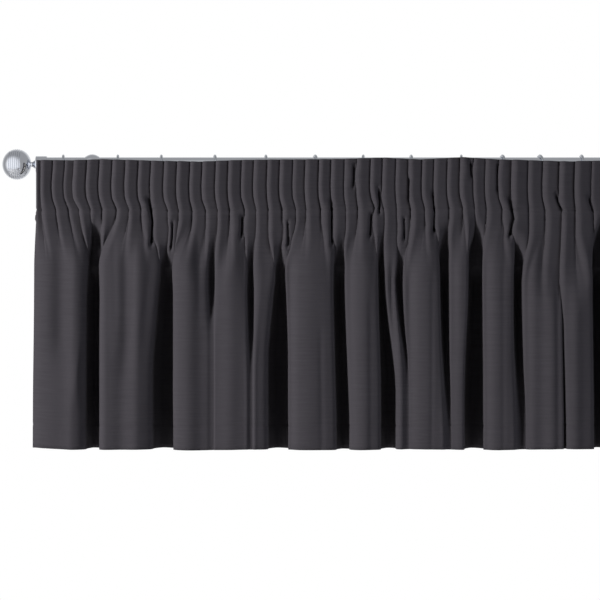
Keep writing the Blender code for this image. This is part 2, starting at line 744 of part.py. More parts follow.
def sheet(lines):
    """A sheet of quads through the given lines of points, top line first."""
    across = len(lines[0][0])
    bm = bmesh.new()
    bmesh.ops.create_grid(bm, x_segments=across - 1, y_segments=len(lines) - 1, size=1)
    ordered = sorted(bm.verts, key=lambda vert: (-round(vert.co.y, 4), vert.co.x))
    for number, line in enumerate(lines):
        row = ordered[number * across : (number + 1) * across]
        for vert, x, y, z in zip(row, *line):
            vert.co = (x, y, z)
    return bm


def thicken(obj, thickness):
    solid = obj.modifiers.new("thickness", "SOLIDIFY")
    solid.thickness = thickness
    solid.offset = 0


def make_cloth(fabric):
    columns = pleat_columns(COLUMNS_PER_PLEAT)
    lines = [cloth_points(columns, height * MM) for height in ROWS]
    cloth = add_mesh("valance_cloth", sheet(lines), fabric, 80)
    thicken(cloth, CLOTH)


def make_tape(webbing):
    """The gathering tape waves in time with the pleats, less deep than they are, just behind them."""
    grooves = pleat_grooves()
    x = np.interp(pleat_columns(2), np.arange(len(grooves)), grooves)
    y = PLEAT_FLOOR_Y + CLOTH / 2 + TAPE_GAP + TAPE / 2 - tape_wave(x)
    lines = []
    for height in TAPE_ROWS:
        lines.append((LEFT_EDGE + x, y, np.full_like(x, TOP - height * MM)))
    tape = add_mesh("heading_tape", sheet(lines), webbing, 80)
    thicken(tape, TAPE)


def main():
    clear_scene()
    steel = material("polished_steel", "#c9ccd2", 0.16, 1.0)
    fabric = material("charcoal_cloth", "#3c3a3e", 0.9)
    webbing = material("white_webbing", "#d9d7d0", 0.8)
    make_pole(steel)
    make_finials(steel)
    make_brackets(steel)
    make_rings(steel)
    make_hooks(steel)
    make_cloth(fabric)
    make_tape(webbing)


main()
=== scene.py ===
# %% [markdown]
# # A pencil-pleat valance on its pole
#
# This is a short curtain, 400 mm deep, gathered at the top into pencil pleats. It hangs from thirteen
# metal rings on a thin polished pole that ends in ribbed balls. The cells below load the solid model
# as a fixed frame, and then dress it piece by piece: cloth, sewing, tape and metalwork.

import math

import bmesh
import bpy
import numpy as np
from mathutils import Matrix, Vector


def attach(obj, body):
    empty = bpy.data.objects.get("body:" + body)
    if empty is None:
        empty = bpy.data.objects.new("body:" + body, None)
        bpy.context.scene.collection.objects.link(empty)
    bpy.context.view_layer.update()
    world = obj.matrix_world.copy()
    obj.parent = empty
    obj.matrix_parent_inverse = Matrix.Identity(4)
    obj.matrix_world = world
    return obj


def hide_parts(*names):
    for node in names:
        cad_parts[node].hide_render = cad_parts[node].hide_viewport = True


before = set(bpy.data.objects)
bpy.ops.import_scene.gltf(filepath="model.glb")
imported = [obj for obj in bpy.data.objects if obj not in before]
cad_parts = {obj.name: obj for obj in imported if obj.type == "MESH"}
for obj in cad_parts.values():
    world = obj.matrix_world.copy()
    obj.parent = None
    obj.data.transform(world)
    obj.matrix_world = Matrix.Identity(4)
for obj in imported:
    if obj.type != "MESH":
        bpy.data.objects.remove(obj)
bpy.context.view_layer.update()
MM = 0.001

# %% [markdown]
# ## Camera
#
# The picture is taken square on, from far enough away that the curtain shows almost no perspective.
# A long lens does the same here. One pixel of a 600 pixel picture is 1.379 mm at the front of the
# cloth, which gives the width of the view there, and that width and the distance give the lens.

# %% Camera
PICTURE_PIXELS = 600
MM_PER_PIXEL = 1.379
CAMERA_DISTANCE = 3.0
CLOTH_FRONT_Y = -0.1095
VIEW_MIDDLE_X = -0.0704
VIEW_MIDDLE_Z = -0.1891
SENSOR = 36

camera_data = bpy.data.cameras.new("camera")
camera_data.sensor_width = SENSOR
camera_data.lens = SENSOR * CAMERA_DISTANCE / (PICTURE_PIXELS * MM_PER_PIXEL * MM)
camera = bpy.data.objects.new("camera", camera_data)
camera.location = (VIEW_MIDDLE_X, CLOTH_FRONT_Y - CAMERA_DISTANCE, VIEW_MIDDLE_Z)
camera.rotation_euler = (math.pi / 2, 0, 0)
bpy.context.scene.collection.objects.link(camera)
bpy.context.scene.camera = camera
bpy.context.scene.view_settings.view_transform = "Standard"
print("lens, mm:", round(camera_data.lens, 1))

# %% [markdown]
# ## Nodes and colours
#
# Every material below is a small graph of nodes. One function adds a node, sets its own settings and
# either fills in or links its inputs. Colours are picked as the hex numbers that a screen shows, so a
# second function turns them into the linear light that Blender calculates with.


# %% Helpers for nodes and colours
def add(tree, kind, inputs=None, **settings):
    """A new node: settings are its own properties, inputs are values or sockets to link."""
    made = tree.nodes.new(kind)
    for name, value in settings.items():
        setattr(made, name, value)
    for name, value in (inputs or {}).items():
        if isinstance(value, bpy.types.NodeSocket):
            tree.links.new(value, made.inputs[name])
        else:
            made.inputs[name].default_value = value
    return made


def linear(hex_colour):
    """A hex colour such as #c9ccd2 as linear red, green, blue and alpha."""
    shares = [int(hex_colour[at : at + 2], 16) / 255 for at in (1, 3, 5)]
    light = [s / 12.92 if s <= 0.04045 else ((s + 0.055) / 1.055) ** 2.4 for s in shares]
    return (*light, 1)


def new_material(name, **surface):
    """A material and its Principled shader, with the sockets that are the same all over."""
    made = bpy.data.materials.new(name)
    made.use_nodes = True
    shader = made.node_tree.nodes["Principled BSDF"]
    for socket, value in surface.items():
        shader.inputs[socket.replace("_", " ")].default_value = value
    return made, made.node_tree, shader


print("charcoal in linear light:", [round(part, 3) for part in linear("#424045")])

# %% [markdown]
# ## Light, background and floor
#
# A soft box to the left and in front lights the left side of every fold, and a weaker one fills from
# the right. A third stands behind the curtain, as a window would, so that its back shows from there.
# Hardly any light comes from elsewhere, so the valleys between the folds stay black.

# %% Soft boxes
AIM = (VIEW_MIDDLE_X, CLOTH_FRONT_Y, -0.2)

# Each light: its place and the side of its square in metres, and its power in watts
LIGHTS = (
    {"name": "key_left", "place": (-3.0, -2.0, 0.5), "side": 0.8, "power": 163, "colour": "#fffdfb"},
    {"name": "fill_right", "place": (2.8, -1.7, 0.4), "side": 1.2, "power": 30, "colour": "#f6f8ff"},
    {"name": "from_the_window", "place": (0.9, 2.4, 0.5), "side": 1.6, "power": 45, "colour": "#f6f8ff"},
)


def soft_box(name, place, side, power, colour):
    """A square area light at a place, turned to face the middle of the curtain."""
    data = bpy.data.lights.new(name, "AREA")
    data.size = side
    data.energy = power
    data.color = linear(colour)[:3]
    made = bpy.data.objects.new(name, data)
    made.location = place
    away = made.location - Vector(AIM)
    made.rotation_euler = away.to_track_quat("Z", "Y").to_euler()
    made.visible_glossy = False
    bpy.context.scene.collection.objects.link(made)


for light in LIGHTS:
    soft_box(**light)
print("soft boxes, watts:", [light["power"] for light in LIGHTS])

# %% [markdown]
# ## Surroundings
#
# The surroundings are white to the camera. The metal mirrors a bright room with one dark doorway, and
# the cloth gets hardly any light from them. One switch on the kind of ray chooses between the three.

# %% Surroundings
DIM_LIGHT = 0.005
BRIGHT_SIDE = (-0.5, -0.85, -0.1)
DARK_DOOR = (0.25, -0.55, -0.8)

world = bpy.data.worlds.new("studio")
world.use_nodes = True
bpy.context.scene.world = world
sky = world.node_tree
sky.nodes.clear()
ray = add(sky, "ShaderNodeLightPath")
direction = add(sky, "ShaderNodeTexCoord")
split = add(sky, "ShaderNodeSeparateXYZ", {"Vector": direction.outputs["Generated"]})
bright_side = add(
    sky,
    "ShaderNodeVectorMath",
    {0: direction.outputs["Generated"], 1: BRIGHT_SIDE},
    operation="DOT_PRODUCT",
)
window = add(
    sky,
    "ShaderNodeMapRange",
    {"Value": bright_side.outputs["Value"], "From Min": 0.25, "From Max": 0.8, "To Min": 0.5, "To Max": 1.5},
    interpolation_type="SMOOTHSTEP",
)
behind = add(
    sky,
    "ShaderNodeMapRange",
    {"Value": split.outputs["Y"], "From Min": 0.5, "From Max": 0.95, "To Min": 0.0, "To Max": 0.6},
)
lit = add(sky, "ShaderNodeMath", {0: window.outputs[0], 1: behind.outputs[0]}, operation="ADD")
from_door = add(
    sky,
    "ShaderNodeVectorMath",
    {0: direction.outputs["Generated"], 1: DARK_DOOR},
    operation="DISTANCE",
)
door = add(
    sky,
    "ShaderNodeMapRange",
    {"Value": from_door.outputs["Value"], "From Min": 0.15, "From Max": 0.5, "To Min": 0.05, "To Max": 1.0},
)
room = add(sky, "ShaderNodeMath", {0: lit.outputs[0], 1: door.outputs[0]}, operation="MULTIPLY")
seen = add(sky, "ShaderNodeBackground", {"Color": (1, 1, 1, 1), "Strength": 1.0})
mirrored = add(sky, "ShaderNodeBackground", {"Strength": room.outputs[0]})
dim = add(sky, "ShaderNodeBackground", {"Color": linear("#f4f6ff"), "Strength": DIM_LIGHT})
shiny = add(
    sky,
    "ShaderNodeMixShader",
    {0: ray.outputs["Is Diffuse Ray"], 1: mirrored.outputs[0], 2: dim.outputs[0]},
)
whole = add(
    sky,
    "ShaderNodeMixShader",
    {0: ray.outputs["Is Camera Ray"], 1: shiny.outputs[0], 2: seen.outputs[0]},
)
add(sky, "ShaderNodeOutputWorld", {"Surface": whole.outputs[0]})
print("soft light on the cloth from all round:", DIM_LIGHT)

# %% [markdown]
# ## Floor
#
# The floor is one matt painted square, well below the hem and out of the picture. It is far enough
# down to throw no light back on the cloth.

# %% Floor
FLOOR_Z = -2.0
FLOOR_SIDE = 5.0

bm = bmesh.new()
bmesh.ops.create_grid(bm, x_segments=1, y_segments=1, size=FLOOR_SIDE / 2)
bmesh.ops.translate(bm, verts=bm.verts, vec=(0, 0, FLOOR_Z))
floor_mesh = bpy.data.meshes.new("floor")
bm.to_mesh(floor_mesh)
bm.free()
floor = bpy.data.objects.new("floor", floor_mesh)
bpy.context.scene.collection.objects.link(floor)
paint, _, _ = new_material("matt_paint", Base_Color=linear("#e9e8e5"), Roughness=0.9)
floor_mesh.materials.append(paint)
print("floor at", FLOOR_Z, "m")

# %% [markdown]
# ## Charcoal cloth
#
# The cloth is a plain weave of dyed cotton and polyester, matt, with a faint bloom of fibre ends that
# catches the light on edges. Warp and weft pass over and under each other, which two crossed waves
# draw as small bumps. Real threads lie about 0.5 mm apart, too fine for a picture with a pixel of
# 1.4 mm, so they are drawn at 0.9 mm. Thicker weft threads, slubs, run across as faint darker and
# lighter lines 2 to 3 mm apart. The pattern reads the cloth's own UV map, which holds metres along
# the cut cloth, so it follows every pleat.

# %% Helpers for woven patterns
THREAD_PITCH = 0.9 * MM
WAVE_REPEAT = math.tau / 20


def thread_wave(tree, flat, direction):
    """Bands across the cloth, one for each thread. A wave texture repeats each 2 pi / 20 units."""
    return add(
        tree,
        "ShaderNodeTexWave",
        {"Vector": flat, "Scale": WAVE_REPEAT / THREAD_PITCH, "Distortion": 0.4, "Detail": 1.0},
        bands_direction=direction,
        wave_profile="SIN",
    )


def stretched_noise(tree, flat, along, across, detail):
    """Noise whose spots measure the given sizes along the cloth's width and its drop."""
    scaled = add(tree, "ShaderNodeMapping", {"Vector": flat, "Scale": (1 / along, 1 / across, 1)})
    return add(
        tree,
        "ShaderNodeTexNoise",
        {"Vector": scaled.outputs[0], "Scale": 1.0, "Detail": detail, "Roughness": 0.6},
        noise_dimensions="2D",
    )


def mixed(tree, share, first, second, blend="MIX"):
    """Two colours blended by a share."""
    return add(
        tree,
        "ShaderNodeMix",
        {0: share, 6: first, 7: second},
        data_type="RGBA",
        blend_type=blend,
    ).outputs[2]


print("threads every", THREAD_PITCH / MM, "mm")


# %% Charcoal cloth material
SLUB_PITCH = 2.6 * MM
SLUB_LENGTH = 45 * MM
WARP_STREAK = 4.0 * MM
STREAK_LENGTH = 360 * MM
DYE_PATCH = (90 * MM, 140 * MM)
THREAD_HEIGHT = 0.14 * MM


def woven_cloth(name, base, light, dark):
    """A dyed plain weave: thread bumps, slubs across, faint streaks down, and uneven dye."""
    made, tree, shader = new_material(
        name,
        Roughness=0.92,
        IOR=1.46,
        Specular_IOR_Level=0.0,
        Sheen_Weight=0.12,
        Sheen_Roughness=0.45,
        Sheen_Tint=linear("#d8d4dc"),
    )
    flat = add(tree, "ShaderNodeUVMap", uv_map="cut_cloth").outputs[0]
    warp = thread_wave(tree, flat, "X")
    weft = thread_wave(tree, flat, "Y")
    slubs = stretched_noise(tree, flat, SLUB_LENGTH, SLUB_PITCH, 2.0)
    streaks = stretched_noise(tree, flat, WARP_STREAK, STREAK_LENGTH, 1.0)
    dye = stretched_noise(tree, flat, *DYE_PATCH, 1.0)
    slub_share = add(
        tree,
        "ShaderNodeMapRange",
        {"Value": slubs.outputs[0], "From Min": 0.3, "From Max": 0.7},
    )
    streak_share = add(
        tree,
        "ShaderNodeMapRange",
        {"Value": streaks.outputs[0], "From Min": 0.3, "From Max": 0.7, "To Max": 0.35},
    )
    crossed = add(
        tree,
        "ShaderNodeMath",
        {0: warp.outputs["Fac"], 1: weft.outputs["Fac"]},
        operation="MULTIPLY",
    )
    lit = mixed(tree, slub_share.outputs[0], linear(dark), linear(light))
    streaked = mixed(tree, streak_share.outputs[0], lit, linear(base))
    dyed = mixed(tree, dye.outputs[0], streaked, linear(base))
    tree.links.new(dyed, shader.inputs["Base Color"])
    height = add(
        tree,
        "ShaderNodeMath",
        {0: slub_share.outputs[0], 1: 0.5, 2: crossed.outputs[0]},
        operation="MULTIPLY_ADD",
    )
    bump = add(
        tree,
        "ShaderNodeBump",
        {"Strength": 0.55, "Distance": THREAD_HEIGHT, "Height": height.outputs[0]},
    )
    tree.links.new(bump.outputs[0], shader.inputs["Normal"])
    return made


charcoal = woven_cloth("charcoal_plain_weave", "#424045", "#464449", "#3e3c41")
print("slubs every", SLUB_PITCH / MM, "mm")

# %% [markdown]
# ## The cloth's shape
#
# A pencil-pleat heading is one flat width of cloth drawn up on cords in a tape until it stands in
# narrow even pleats. Below the tape's lower row of stitches nothing holds the pleats, so they open
# into fewer, wider folds that hang to the hem. A cloth simulation would fold where it likes, and this
# curtain's folds are known, so the sheet is placed as given. Its plan is worked out at each height: a
# row of pleats at the top, a curve through the folds and valleys below, and a blend of the two
# between. Tables hold the size of each run of pleats and the place of each valley.

# %% Sizes of the cloth
CLOTH = 1.2 * MM
TOP = 4.5 * MM
DROP = 400 * MM
GATHERED_WIDTH = 870.2 * MM
LEFT_EDGE = -GATHERED_WIDTH / 2
PLEAT_FLOOR_Y = -97 * MM
PLEAT_DEPTH = 10 * MM
USUAL_PLEAT = 17.8 * MM
PLEAT_UNEVENNESS = 0.8 * MM
PINCHED = 0.52
FOLDS_FORWARD = 2.5 * MM
FRONT_Y = PLEAT_FLOOR_Y - PLEAT_DEPTH - FOLDS_FORWARD
TAPE_DEPTH = 2 * MM
SEAM = 70 * MM
FOLDS_FORMED = 160 * MM
print("the folds' faces stand", -FRONT_Y / MM, "mm in front of the wall")

# %% Table of the pleats
# Runs of pleats from the left: how many, and how wide each one is when drawn up, in mm
PLEAT_RUNS = (
    {"pleats": 1, "pitch": 6.2},
    {"pleats": 1, "pitch": 17.1},
    {"pleats": 1, "pitch": 16.5},
    {"pleats": 1, "pitch": 12.4},
    {"pleats": 1, "pitch": 18.0},
    {"pleats": 33, "pitch": 17.8},
    {"pleats": 5, "pitch": 21.8},
    {"pleats": 6, "pitch": 17.27},
)

# One pleat in plan, from its groove to the next one, as shares of its width and its depth: out of the
# pinched groove, a short bright left side, a crest, a long right flank, and the next pinched groove
PLEAT_SHAPE = (
    {"across": 0.000, "raised": 0.00},
    {"across": 0.008, "raised": 0.10},
    {"across": 0.014, "raised": 0.50},
    {"across": 0.060, "raised": 0.66},
    {"across": 0.115, "raised": 0.84},
    {"across": 0.170, "raised": 0.95},
    {"across": 0.230, "raised": 1.00},
    {"across": 0.370, "raised": 0.95},
    {"across": 0.580, "raised": 0.82},
    {"across": 0.800, "raised": 0.68},
    {"across": 0.950, "raised": 0.58},
    {"across": 0.988, "raised": 0.50},
    {"across": 0.992, "raised": 0.10},
    {"across": 1.000, "raised": 0.00},
)
PLEATS = sum(run["pleats"] for run in PLEAT_RUNS)
print(PLEATS, "pleats")

# %% Table of the valleys
# The valleys between the folds, in mm. left and right are the valley's mouth, from the cloth's left
# edge, where the folds have just formed (high) and at the hem (low). tip is how far below the top the
# valley starts, open how much further down its mouth has its full width, settle where it has reached
# its low form, lip how far the fold on its left is rounded, and under how far the fold on its right
# overhangs it (below zero: how gently it rises).
VALLEYS = (
    {
        "tip": 86, "open": 100, "high": (68, 88.5), "low": (66.5, 87.8),
        "deep": (42, 46), "settle": 400, "lip": 14, "under": 5,
    },
    {
        "tip": 122, "open": 60, "high": (168, 190), "low": (158, 190),
        "deep": (42, 48), "settle": 300, "lip": 16, "under": 5,
    },
    {
        "tip": 106, "open": 40, "high": (236.5, 249.5), "low": (238, 247),
        "deep": (15, 2), "settle": 240, "lip": 12, "under": -3,
    },
    {
        "tip": 116, "open": 60, "high": (290, 304), "low": (292, 301),
        "deep": (20, 3), "settle": 300, "lip": 5, "under": -2,
    },
    {
        "tip": 124, "open": 60, "high": (327, 346), "low": (317, 349),
        "deep": (40, 47), "settle": 280, "lip": 12, "under": 2,
    },
    {
        "tip": 112, "open": 35, "high": (408.5, 430), "low": (412.5, 436.5),
        "deep": (36, 34), "settle": 380, "lip": 8, "under": -3,
    },
    {
        "tip": 108, "open": 50, "high": (470.5, 485.5), "low": (473.5, 501),
        "deep": (34, 42), "settle": 330, "lip": 6, "under": -3,
    },
    {
        "tip": 122, "open": 40, "high": (494.5, 511.5), "low": (510.5, 517),
        "deep": (26, 3), "settle": 330, "lip": 4, "under": -4,
    },
    {
        "tip": 96, "open": 30, "high": (556, 573.5), "low": (563, 575),
        "deep": (34, 5), "settle": 400, "lip": 6, "under": -2,
    },
    {
        "tip": 86, "open": 40, "high": (596, 618), "low": (590, 619.5),
        "deep": (42, 47), "settle": 330, "lip": 4, "under": 0,
    },
    {
        "tip": 106, "open": 50, "high": (657.5, 675), "low": (661, 679.5),
        "deep": (34, 10), "settle": 400, "lip": 6, "under": -3,
    },
    {
        "tip": 180, "open": 60, "high": (724.6, 729), "low": (728, 734),
        "deep": (4, 12), "settle": 400, "lip": 3, "under": -2,
    },
    {
        "tip": 86, "open": 30, "high": (767, 785.5), "low": (768.5, 791.5),
        "deep": (42, 47), "settle": 360, "lip": 8, "under": 3,
    },
)
SKIRT_LEFT_END = {"high": -2.6 * MM, "low": -4.6 * MM, "set_back": 7 * MM}
SKIRT_RIGHT_END = {"high": 2 * MM, "low": 3 * MM, "set_back": 9 * MM}
print(len(VALLEYS), "valleys")

# %% Tables of the swells and the edges
# Soft swells of the folds' faces, in mm: the place of each crest from the left edge, how far it stands
# out (below zero: a hollow), its half width, and how far below the top it starts and ends
SWELLS = (
    {"x": 34, "out": -5.0, "half": 12, "from": 95, "to": 235},
    {"x": 58, "out": 4.5, "half": 11, "from": 95, "to": 290},
    {"x": 58, "out": 7.0, "half": 15, "from": 250, "to": 400},
    {"x": 94, "out": 1.5, "half": 6, "from": 110, "to": 400},
    {"x": 125, "out": -4.0, "half": 9, "from": 95, "to": 260},
    {"x": 118, "out": -3.5, "half": 12, "from": 240, "to": 400},
    {"x": 142, "out": 3.0, "half": 11, "from": 95, "to": 400},
    {"x": 212, "out": 5.0, "half": 15, "from": 100, "to": 400},
    {"x": 268, "out": 3.5, "half": 13, "from": 100, "to": 400},
    {"x": 350, "out": -6.0, "half": 8, "from": 110, "to": 400},
    {"x": 377, "out": 1.5, "half": 14, "from": 110, "to": 400},
    {"x": 431, "out": -5.5, "half": 8, "from": 110, "to": 400},
    {"x": 454, "out": 2.0, "half": 10, "from": 110, "to": 400},
    {"x": 491, "out": -11.0, "half": 8, "from": 110, "to": 400},
    {"x": 514, "out": -8.0, "half": 9, "from": 110, "to": 400},
    {"x": 538, "out": 1.5, "half": 12, "from": 110, "to": 400},
    {"x": 575, "out": -5.0, "half": 7, "from": 110, "to": 400},
    {"x": 621, "out": -5.5, "half": 7, "from": 110, "to": 400},
    {"x": 678, "out": -4.0, "half": 6, "from": 110, "to": 400},
    {"x": 697, "out": -1.0, "half": 8, "from": 110, "to": 400},
    {"x": 712, "out": 2.5, "half": 8, "from": 110, "to": 400},
    {"x": 744, "out": 3.5, "half": 9, "from": 110, "to": 400},
    {"x": 825, "out": -4.0, "half": 15, "from": 110, "to": 400},
)

# How the two long edges wander, in mm: rise of the top and fall of the hem, from the left edge
EDGES = (
    {"x": 0, "rise": 0.0, "fall": -2.5},
    {"x": 50, "rise": -0.4, "fall": 0.0},
    {"x": 92, "rise": 1.0, "fall": 0.2},
    {"x": 165, "rise": -1.1, "fall": 0.0},
    {"x": 225, "rise": -2.2, "fall": 0.9},
    {"x": 290, "rise": 0.1, "fall": 0.0},
    {"x": 420, "rise": 1.2, "fall": 0.8},
    {"x": 480, "rise": 3.2, "fall": 0.3},
    {"x": 530, "rise": 0.6, "fall": -0.4},
    {"x": 588, "rise": 3.8, "fall": 0.4},
    {"x": 640, "rise": 0.6, "fall": 0.7},
    {"x": 737, "rise": -2.2, "fall": -0.8},
    {"x": 800, "rise": -0.4, "fall": 0.0},
    {"x": 870, "rise": 0.0, "fall": 0.0},
)
print(len(SWELLS), "swells")


# %% Helpers for curves
STIFFNESS = 4


def ease(share):
    """0 to 1 with soft ends."""
    share = np.clip(share, 0, 1)
    return share * share * (3 - 2 * share)


def bell(away, half):
    """1 in the middle, fading over the half width on both sides."""
    return np.exp(-((away / half) ** 2))


def passed(height, span):
    """0 above a span of heights, in mm below the top, and 1 below it, with soft ends."""
    return ease((height / MM - span[0]) / (span[1] - span[0]))


def smooth_curve(points, steps):
    """A smooth curve through the points, each span cut in equal steps. Long spans stay nearly flat."""
    points = np.array(points)
    spans = np.linalg.norm(np.diff(points, axis=0), axis=1)
    slope = np.gradient(points, np.concatenate([[0], np.cumsum(spans)]), axis=0)
    shorter = np.minimum(np.append(spans, spans[-1]), np.append(spans[0], spans))
    made = []
    for number, span in enumerate(spans):
        t = (np.arange(steps) / steps)[:, None]
        leave = min(span, STIFFNESS * shorter[number]) * slope[number]
        arrive = min(span, STIFFNESS * shorter[number + 1]) * slope[number + 1]
        made.append(
            (2 * t**3 - 3 * t**2 + 1) * points[number]
            + (t**3 - 2 * t**2 + t) * leave
            + (3 * t**2 - 2 * t**3) * points[number + 1]
            + (t**3 - t**2) * arrive
        )
    return np.concatenate(made + [points[-1:]])


print("a quarter of the way, a soft step has gone", ease(0.25))

# %% [markdown]
# ## Plan of the pleats
#
# Seen from above, the heading is a row of pleats. All have the same outline, each stretched to its own
# width and depth, and the cloth's columns are spread evenly along it. At each height the whole plan is
# shifted a little sideways, because the pleats bow and lean.

# %% Plan of the pleats
# How the pleats lean, in mm: a bow to the left half way down the heading and a kick to the right by
# the seam's tuck, both stronger near the left end and none at the cloth's two side hems
BOW = {"usual": 0.9, "at_left": 1.8, "height": 36, "half": 20}
KICK = {"usual": 2.4, "at_left": 4.6, "wander": 1.6, "grows": (50, 71), "fades": (80, 160)}
LEFT_REACH = 150 * MM
SIDE_HEM = 18 * MM

# The pleats' depth as a share of the usual one: least and most by their width, how far it wanders and
# how much the seam presses it in; and how far below the seam the pinched grooves have opened
FULLNESS = (0.45, 1.25)
DEPTH_WANDER = 0.14
SEAM_PRESS = 0.16
SEAM_HALF = 6 * MM
GROOVES_OPEN = 16 * MM
PLEAT_STEPS = 12


def pleat_grooves():
    """Place of each groove between pleats, from the cloth's left edge, the two edges included."""
    grooves = [0.0]
    for run in PLEAT_RUNS:
        for _ in range(run["pleats"]):
            grooves.append(grooves[-1] + run["pitch"] * MM)
    grooves = np.array(grooves)
    number = np.arange(1, len(grooves) - 1)
    grooves[1:-1] += PLEAT_UNEVENNESS * np.sin(2.4 * number) * np.cos(0.7 * number)
    return grooves


def pleat_plan(share):
    """One pleat's plan, as shares of its width and depth, at shares of the cloth that it takes up."""
    outline = np.array([(point["across"], point["raised"]) for point in PLEAT_SHAPE])
    curve = smooth_curve(outline * (USUAL_PLEAT, PLEAT_DEPTH), PLEAT_STEPS)
    along = np.concatenate([[0], np.cumsum(np.linalg.norm(np.diff(curve, axis=0), axis=1))])
    along /= along[-1]
    across = np.interp(share, along, curve[:, 0]) / USUAL_PLEAT
    return across, np.interp(share, along, curve[:, 1]) / PLEAT_DEPTH


def heading_plan(columns, height):
    """Plan of the pleats at one height: (x, y) of each column, columns counted in pleats."""
    grooves = pleat_grooves()
    number = np.minimum(columns.astype(int), len(grooves) - 2)
    pitch = grooves[number + 1] - grooves[number]
    across, raised = pleat_plan(columns - number)
    x = grooves[number] + pitch * across
    # The pleats bow a little to the left, and the tuck of the seam pulls them to the right.
    inner = 1 - bell(x, SIDE_HEM) - bell(x - GATHERED_WIDTH, SIDE_HEM)
    near_left = np.exp(-x / LEFT_REACH)
    bow = (BOW["usual"] + BOW["at_left"] * near_left) * MM * inner
    kick = KICK["usual"] + KICK["at_left"] * near_left + KICK["wander"] * np.sin(1.9 * columns)
    kicked = passed(height, KICK["grows"]) * (1 - passed(height, KICK["fades"]))
    x = x - bow * bell(height - BOW["height"] * MM, BOW["half"] * MM) + kick * MM * inner * kicked
    fuller = np.clip(pitch / USUAL_PLEAT, *FULLNESS)
    depth = PLEAT_DEPTH * fuller * (1 + DEPTH_WANDER * np.sin(1.7 * number))
    pressed = 1 - SEAM_PRESS * bell(height - SEAM, SEAM_HALF)
    # Below the seam the pinched grooves open, so that only the pleats' outer half is left.
    raised = np.maximum(raised, PINCHED * ease((height - SEAM) / GROOVES_OPEN))
    return x, PLEAT_FLOOR_Y - depth * pressed * raised


print("first pleats end at", (pleat_grooves()[1:5] / MM).round(1), "mm")

# %% [markdown]
# ## Plan of the folds
#
# Below the heading the plan is one smooth curve: eight points lead it down into each valley and up
# again. The columns are spread evenly from one valley's floor to the next, so each floor hangs from
# the pleats above it. Swells then push the folds' faces in and out a little.

# %% Plan of one valley
FLOOR_POINT = 3
MOUTH_ANCHOR = 0.65
NARROWEST = 0.5

# A valley's lips: how deep one is for its lips to be fully rounded, how far the left lip tucks in, and
# how far past the mouth the right fold's face starts
FULLY_ROUNDED = 20 * MM
LIP_TUCK = 1 * MM
FACE_START = 4.5 * MM


def valley_points(valley, height):
    """The plan of one valley at a height, from its left lip to its right."""
    low = float(ease((height - FOLDS_FORMED) / (valley["settle"] * MM - FOLDS_FORMED)))
    left, right, deep = (
        ((1 - low) * high + low * hem) * MM
        for high, hem in (
            (valley["high"][0], valley["low"][0]),
            (valley["high"][1], valley["low"][1]),
            valley["deep"],
        )
    )
    # Just below its tip the mouth is a narrow slit, and it widens down to where the folds are formed.
    opened = float(np.clip((height / MM - valley["tip"]) / valley["open"], 0, 1))
    opened = NARROWEST + (1 - NARROWEST) * opened
    middle = left + MOUTH_ANCHOR * (right - left)
    left, right = middle + (left - middle) * opened, middle + (right - middle) * opened
    soft = min(1.0, deep / FULLY_ROUNDED)
    under = valley["under"] * MM * soft
    lip = valley["lip"] * MM
    wide = right - left
    return (
        # The left fold's face ends and rounds over its lip.
        (left - lip, 0.03 * deep),
        (left - LIP_TUCK * soft, 0.45 * lip * soft),
        # The left wall goes down to the floor, a little past the valley's middle.
        (left + 0.14 * wide, 0.60 * deep),
        (left + 0.52 * wide, deep),
        # The right wall comes up under the next fold or leans away from it.
        (right + 0.6 * under, 0.72 * deep),
        (right + under, 0.38 * deep),
        # The right lip, and the start of the next fold's face.
        (right + 0.2 * MM, 0.10 * deep),
        (right + FACE_START * soft, 0),
    )


def valley_columns():
    """The column, counted in pleats, that each valley's floor hangs from."""
    grooves = pleat_grooves()
    middles = [sum(valley["high"]) / 2 * MM for valley in VALLEYS]
    return np.interp(middles, grooves, np.arange(len(grooves)))


print("valley floors hang from columns", valley_columns().round(1))

# %% Plan of the folds
FOLD_STEPS = 20

# The plan's two ends: how far in from the side hem the face has turned to the front, and how far back
# it still is there
END_TURN = {"left": 8 * MM, "right": 9 * MM, "back": 2 * MM}

# Over what height, in mm, a swell grows and fades, and how deep in a valley it has died away
SWELL_GROWS = 50
SWELL_FADES = 60
SWELL_DEPTH = 6 * MM


def skirt_plan(columns, height):
    """Plan of the folds at one height: (x, y) of each column, evenly spaced from floor to floor."""
    low = float(ease((height - FOLDS_FORMED) / (DROP - FOLDS_FORMED)))
    left_end = (1 - low) * SKIRT_LEFT_END["high"] + low * SKIRT_LEFT_END["low"]
    right_end = (1 - low) * SKIRT_RIGHT_END["high"] + low * SKIRT_RIGHT_END["low"]
    points = [
        (left_end, SKIRT_LEFT_END["set_back"]),
        (left_end + END_TURN["left"], END_TURN["back"]),
    ]
    floors = []
    for valley in VALLEYS:
        floors.append((len(points) + FLOOR_POINT) * FOLD_STEPS)
        points += valley_points(valley, height)
    edge = GATHERED_WIDTH + right_end
    points += [
        (edge - END_TURN["right"], END_TURN["back"]),
        (edge, SKIRT_RIGHT_END["set_back"]),
    ]
    curve = smooth_curve(points, FOLD_STEPS)
    along = np.concatenate([[0], np.cumsum(np.linalg.norm(np.diff(curve, axis=0), axis=1))])
    marks = [0, *valley_columns(), columns[-1]]
    places = [0, *along[floors], along[-1]]
    place = np.interp(columns, marks, places)
    x = np.interp(place, along, curve[:, 0])
    back = np.interp(place, along, curve[:, 1])
    for swell in SWELLS:
        grown = passed(height, (swell["from"], swell["from"] + SWELL_GROWS))
        grown = grown * (1 - passed(height, (swell["to"], swell["to"] + SWELL_FADES)))
        shape = bell(x - swell["x"] * MM, swell["half"] * MM) * grown
        back = back - swell["out"] * MM * shape * np.exp(-np.maximum(back, 0) / SWELL_DEPTH)
    return x, FRONT_Y + back


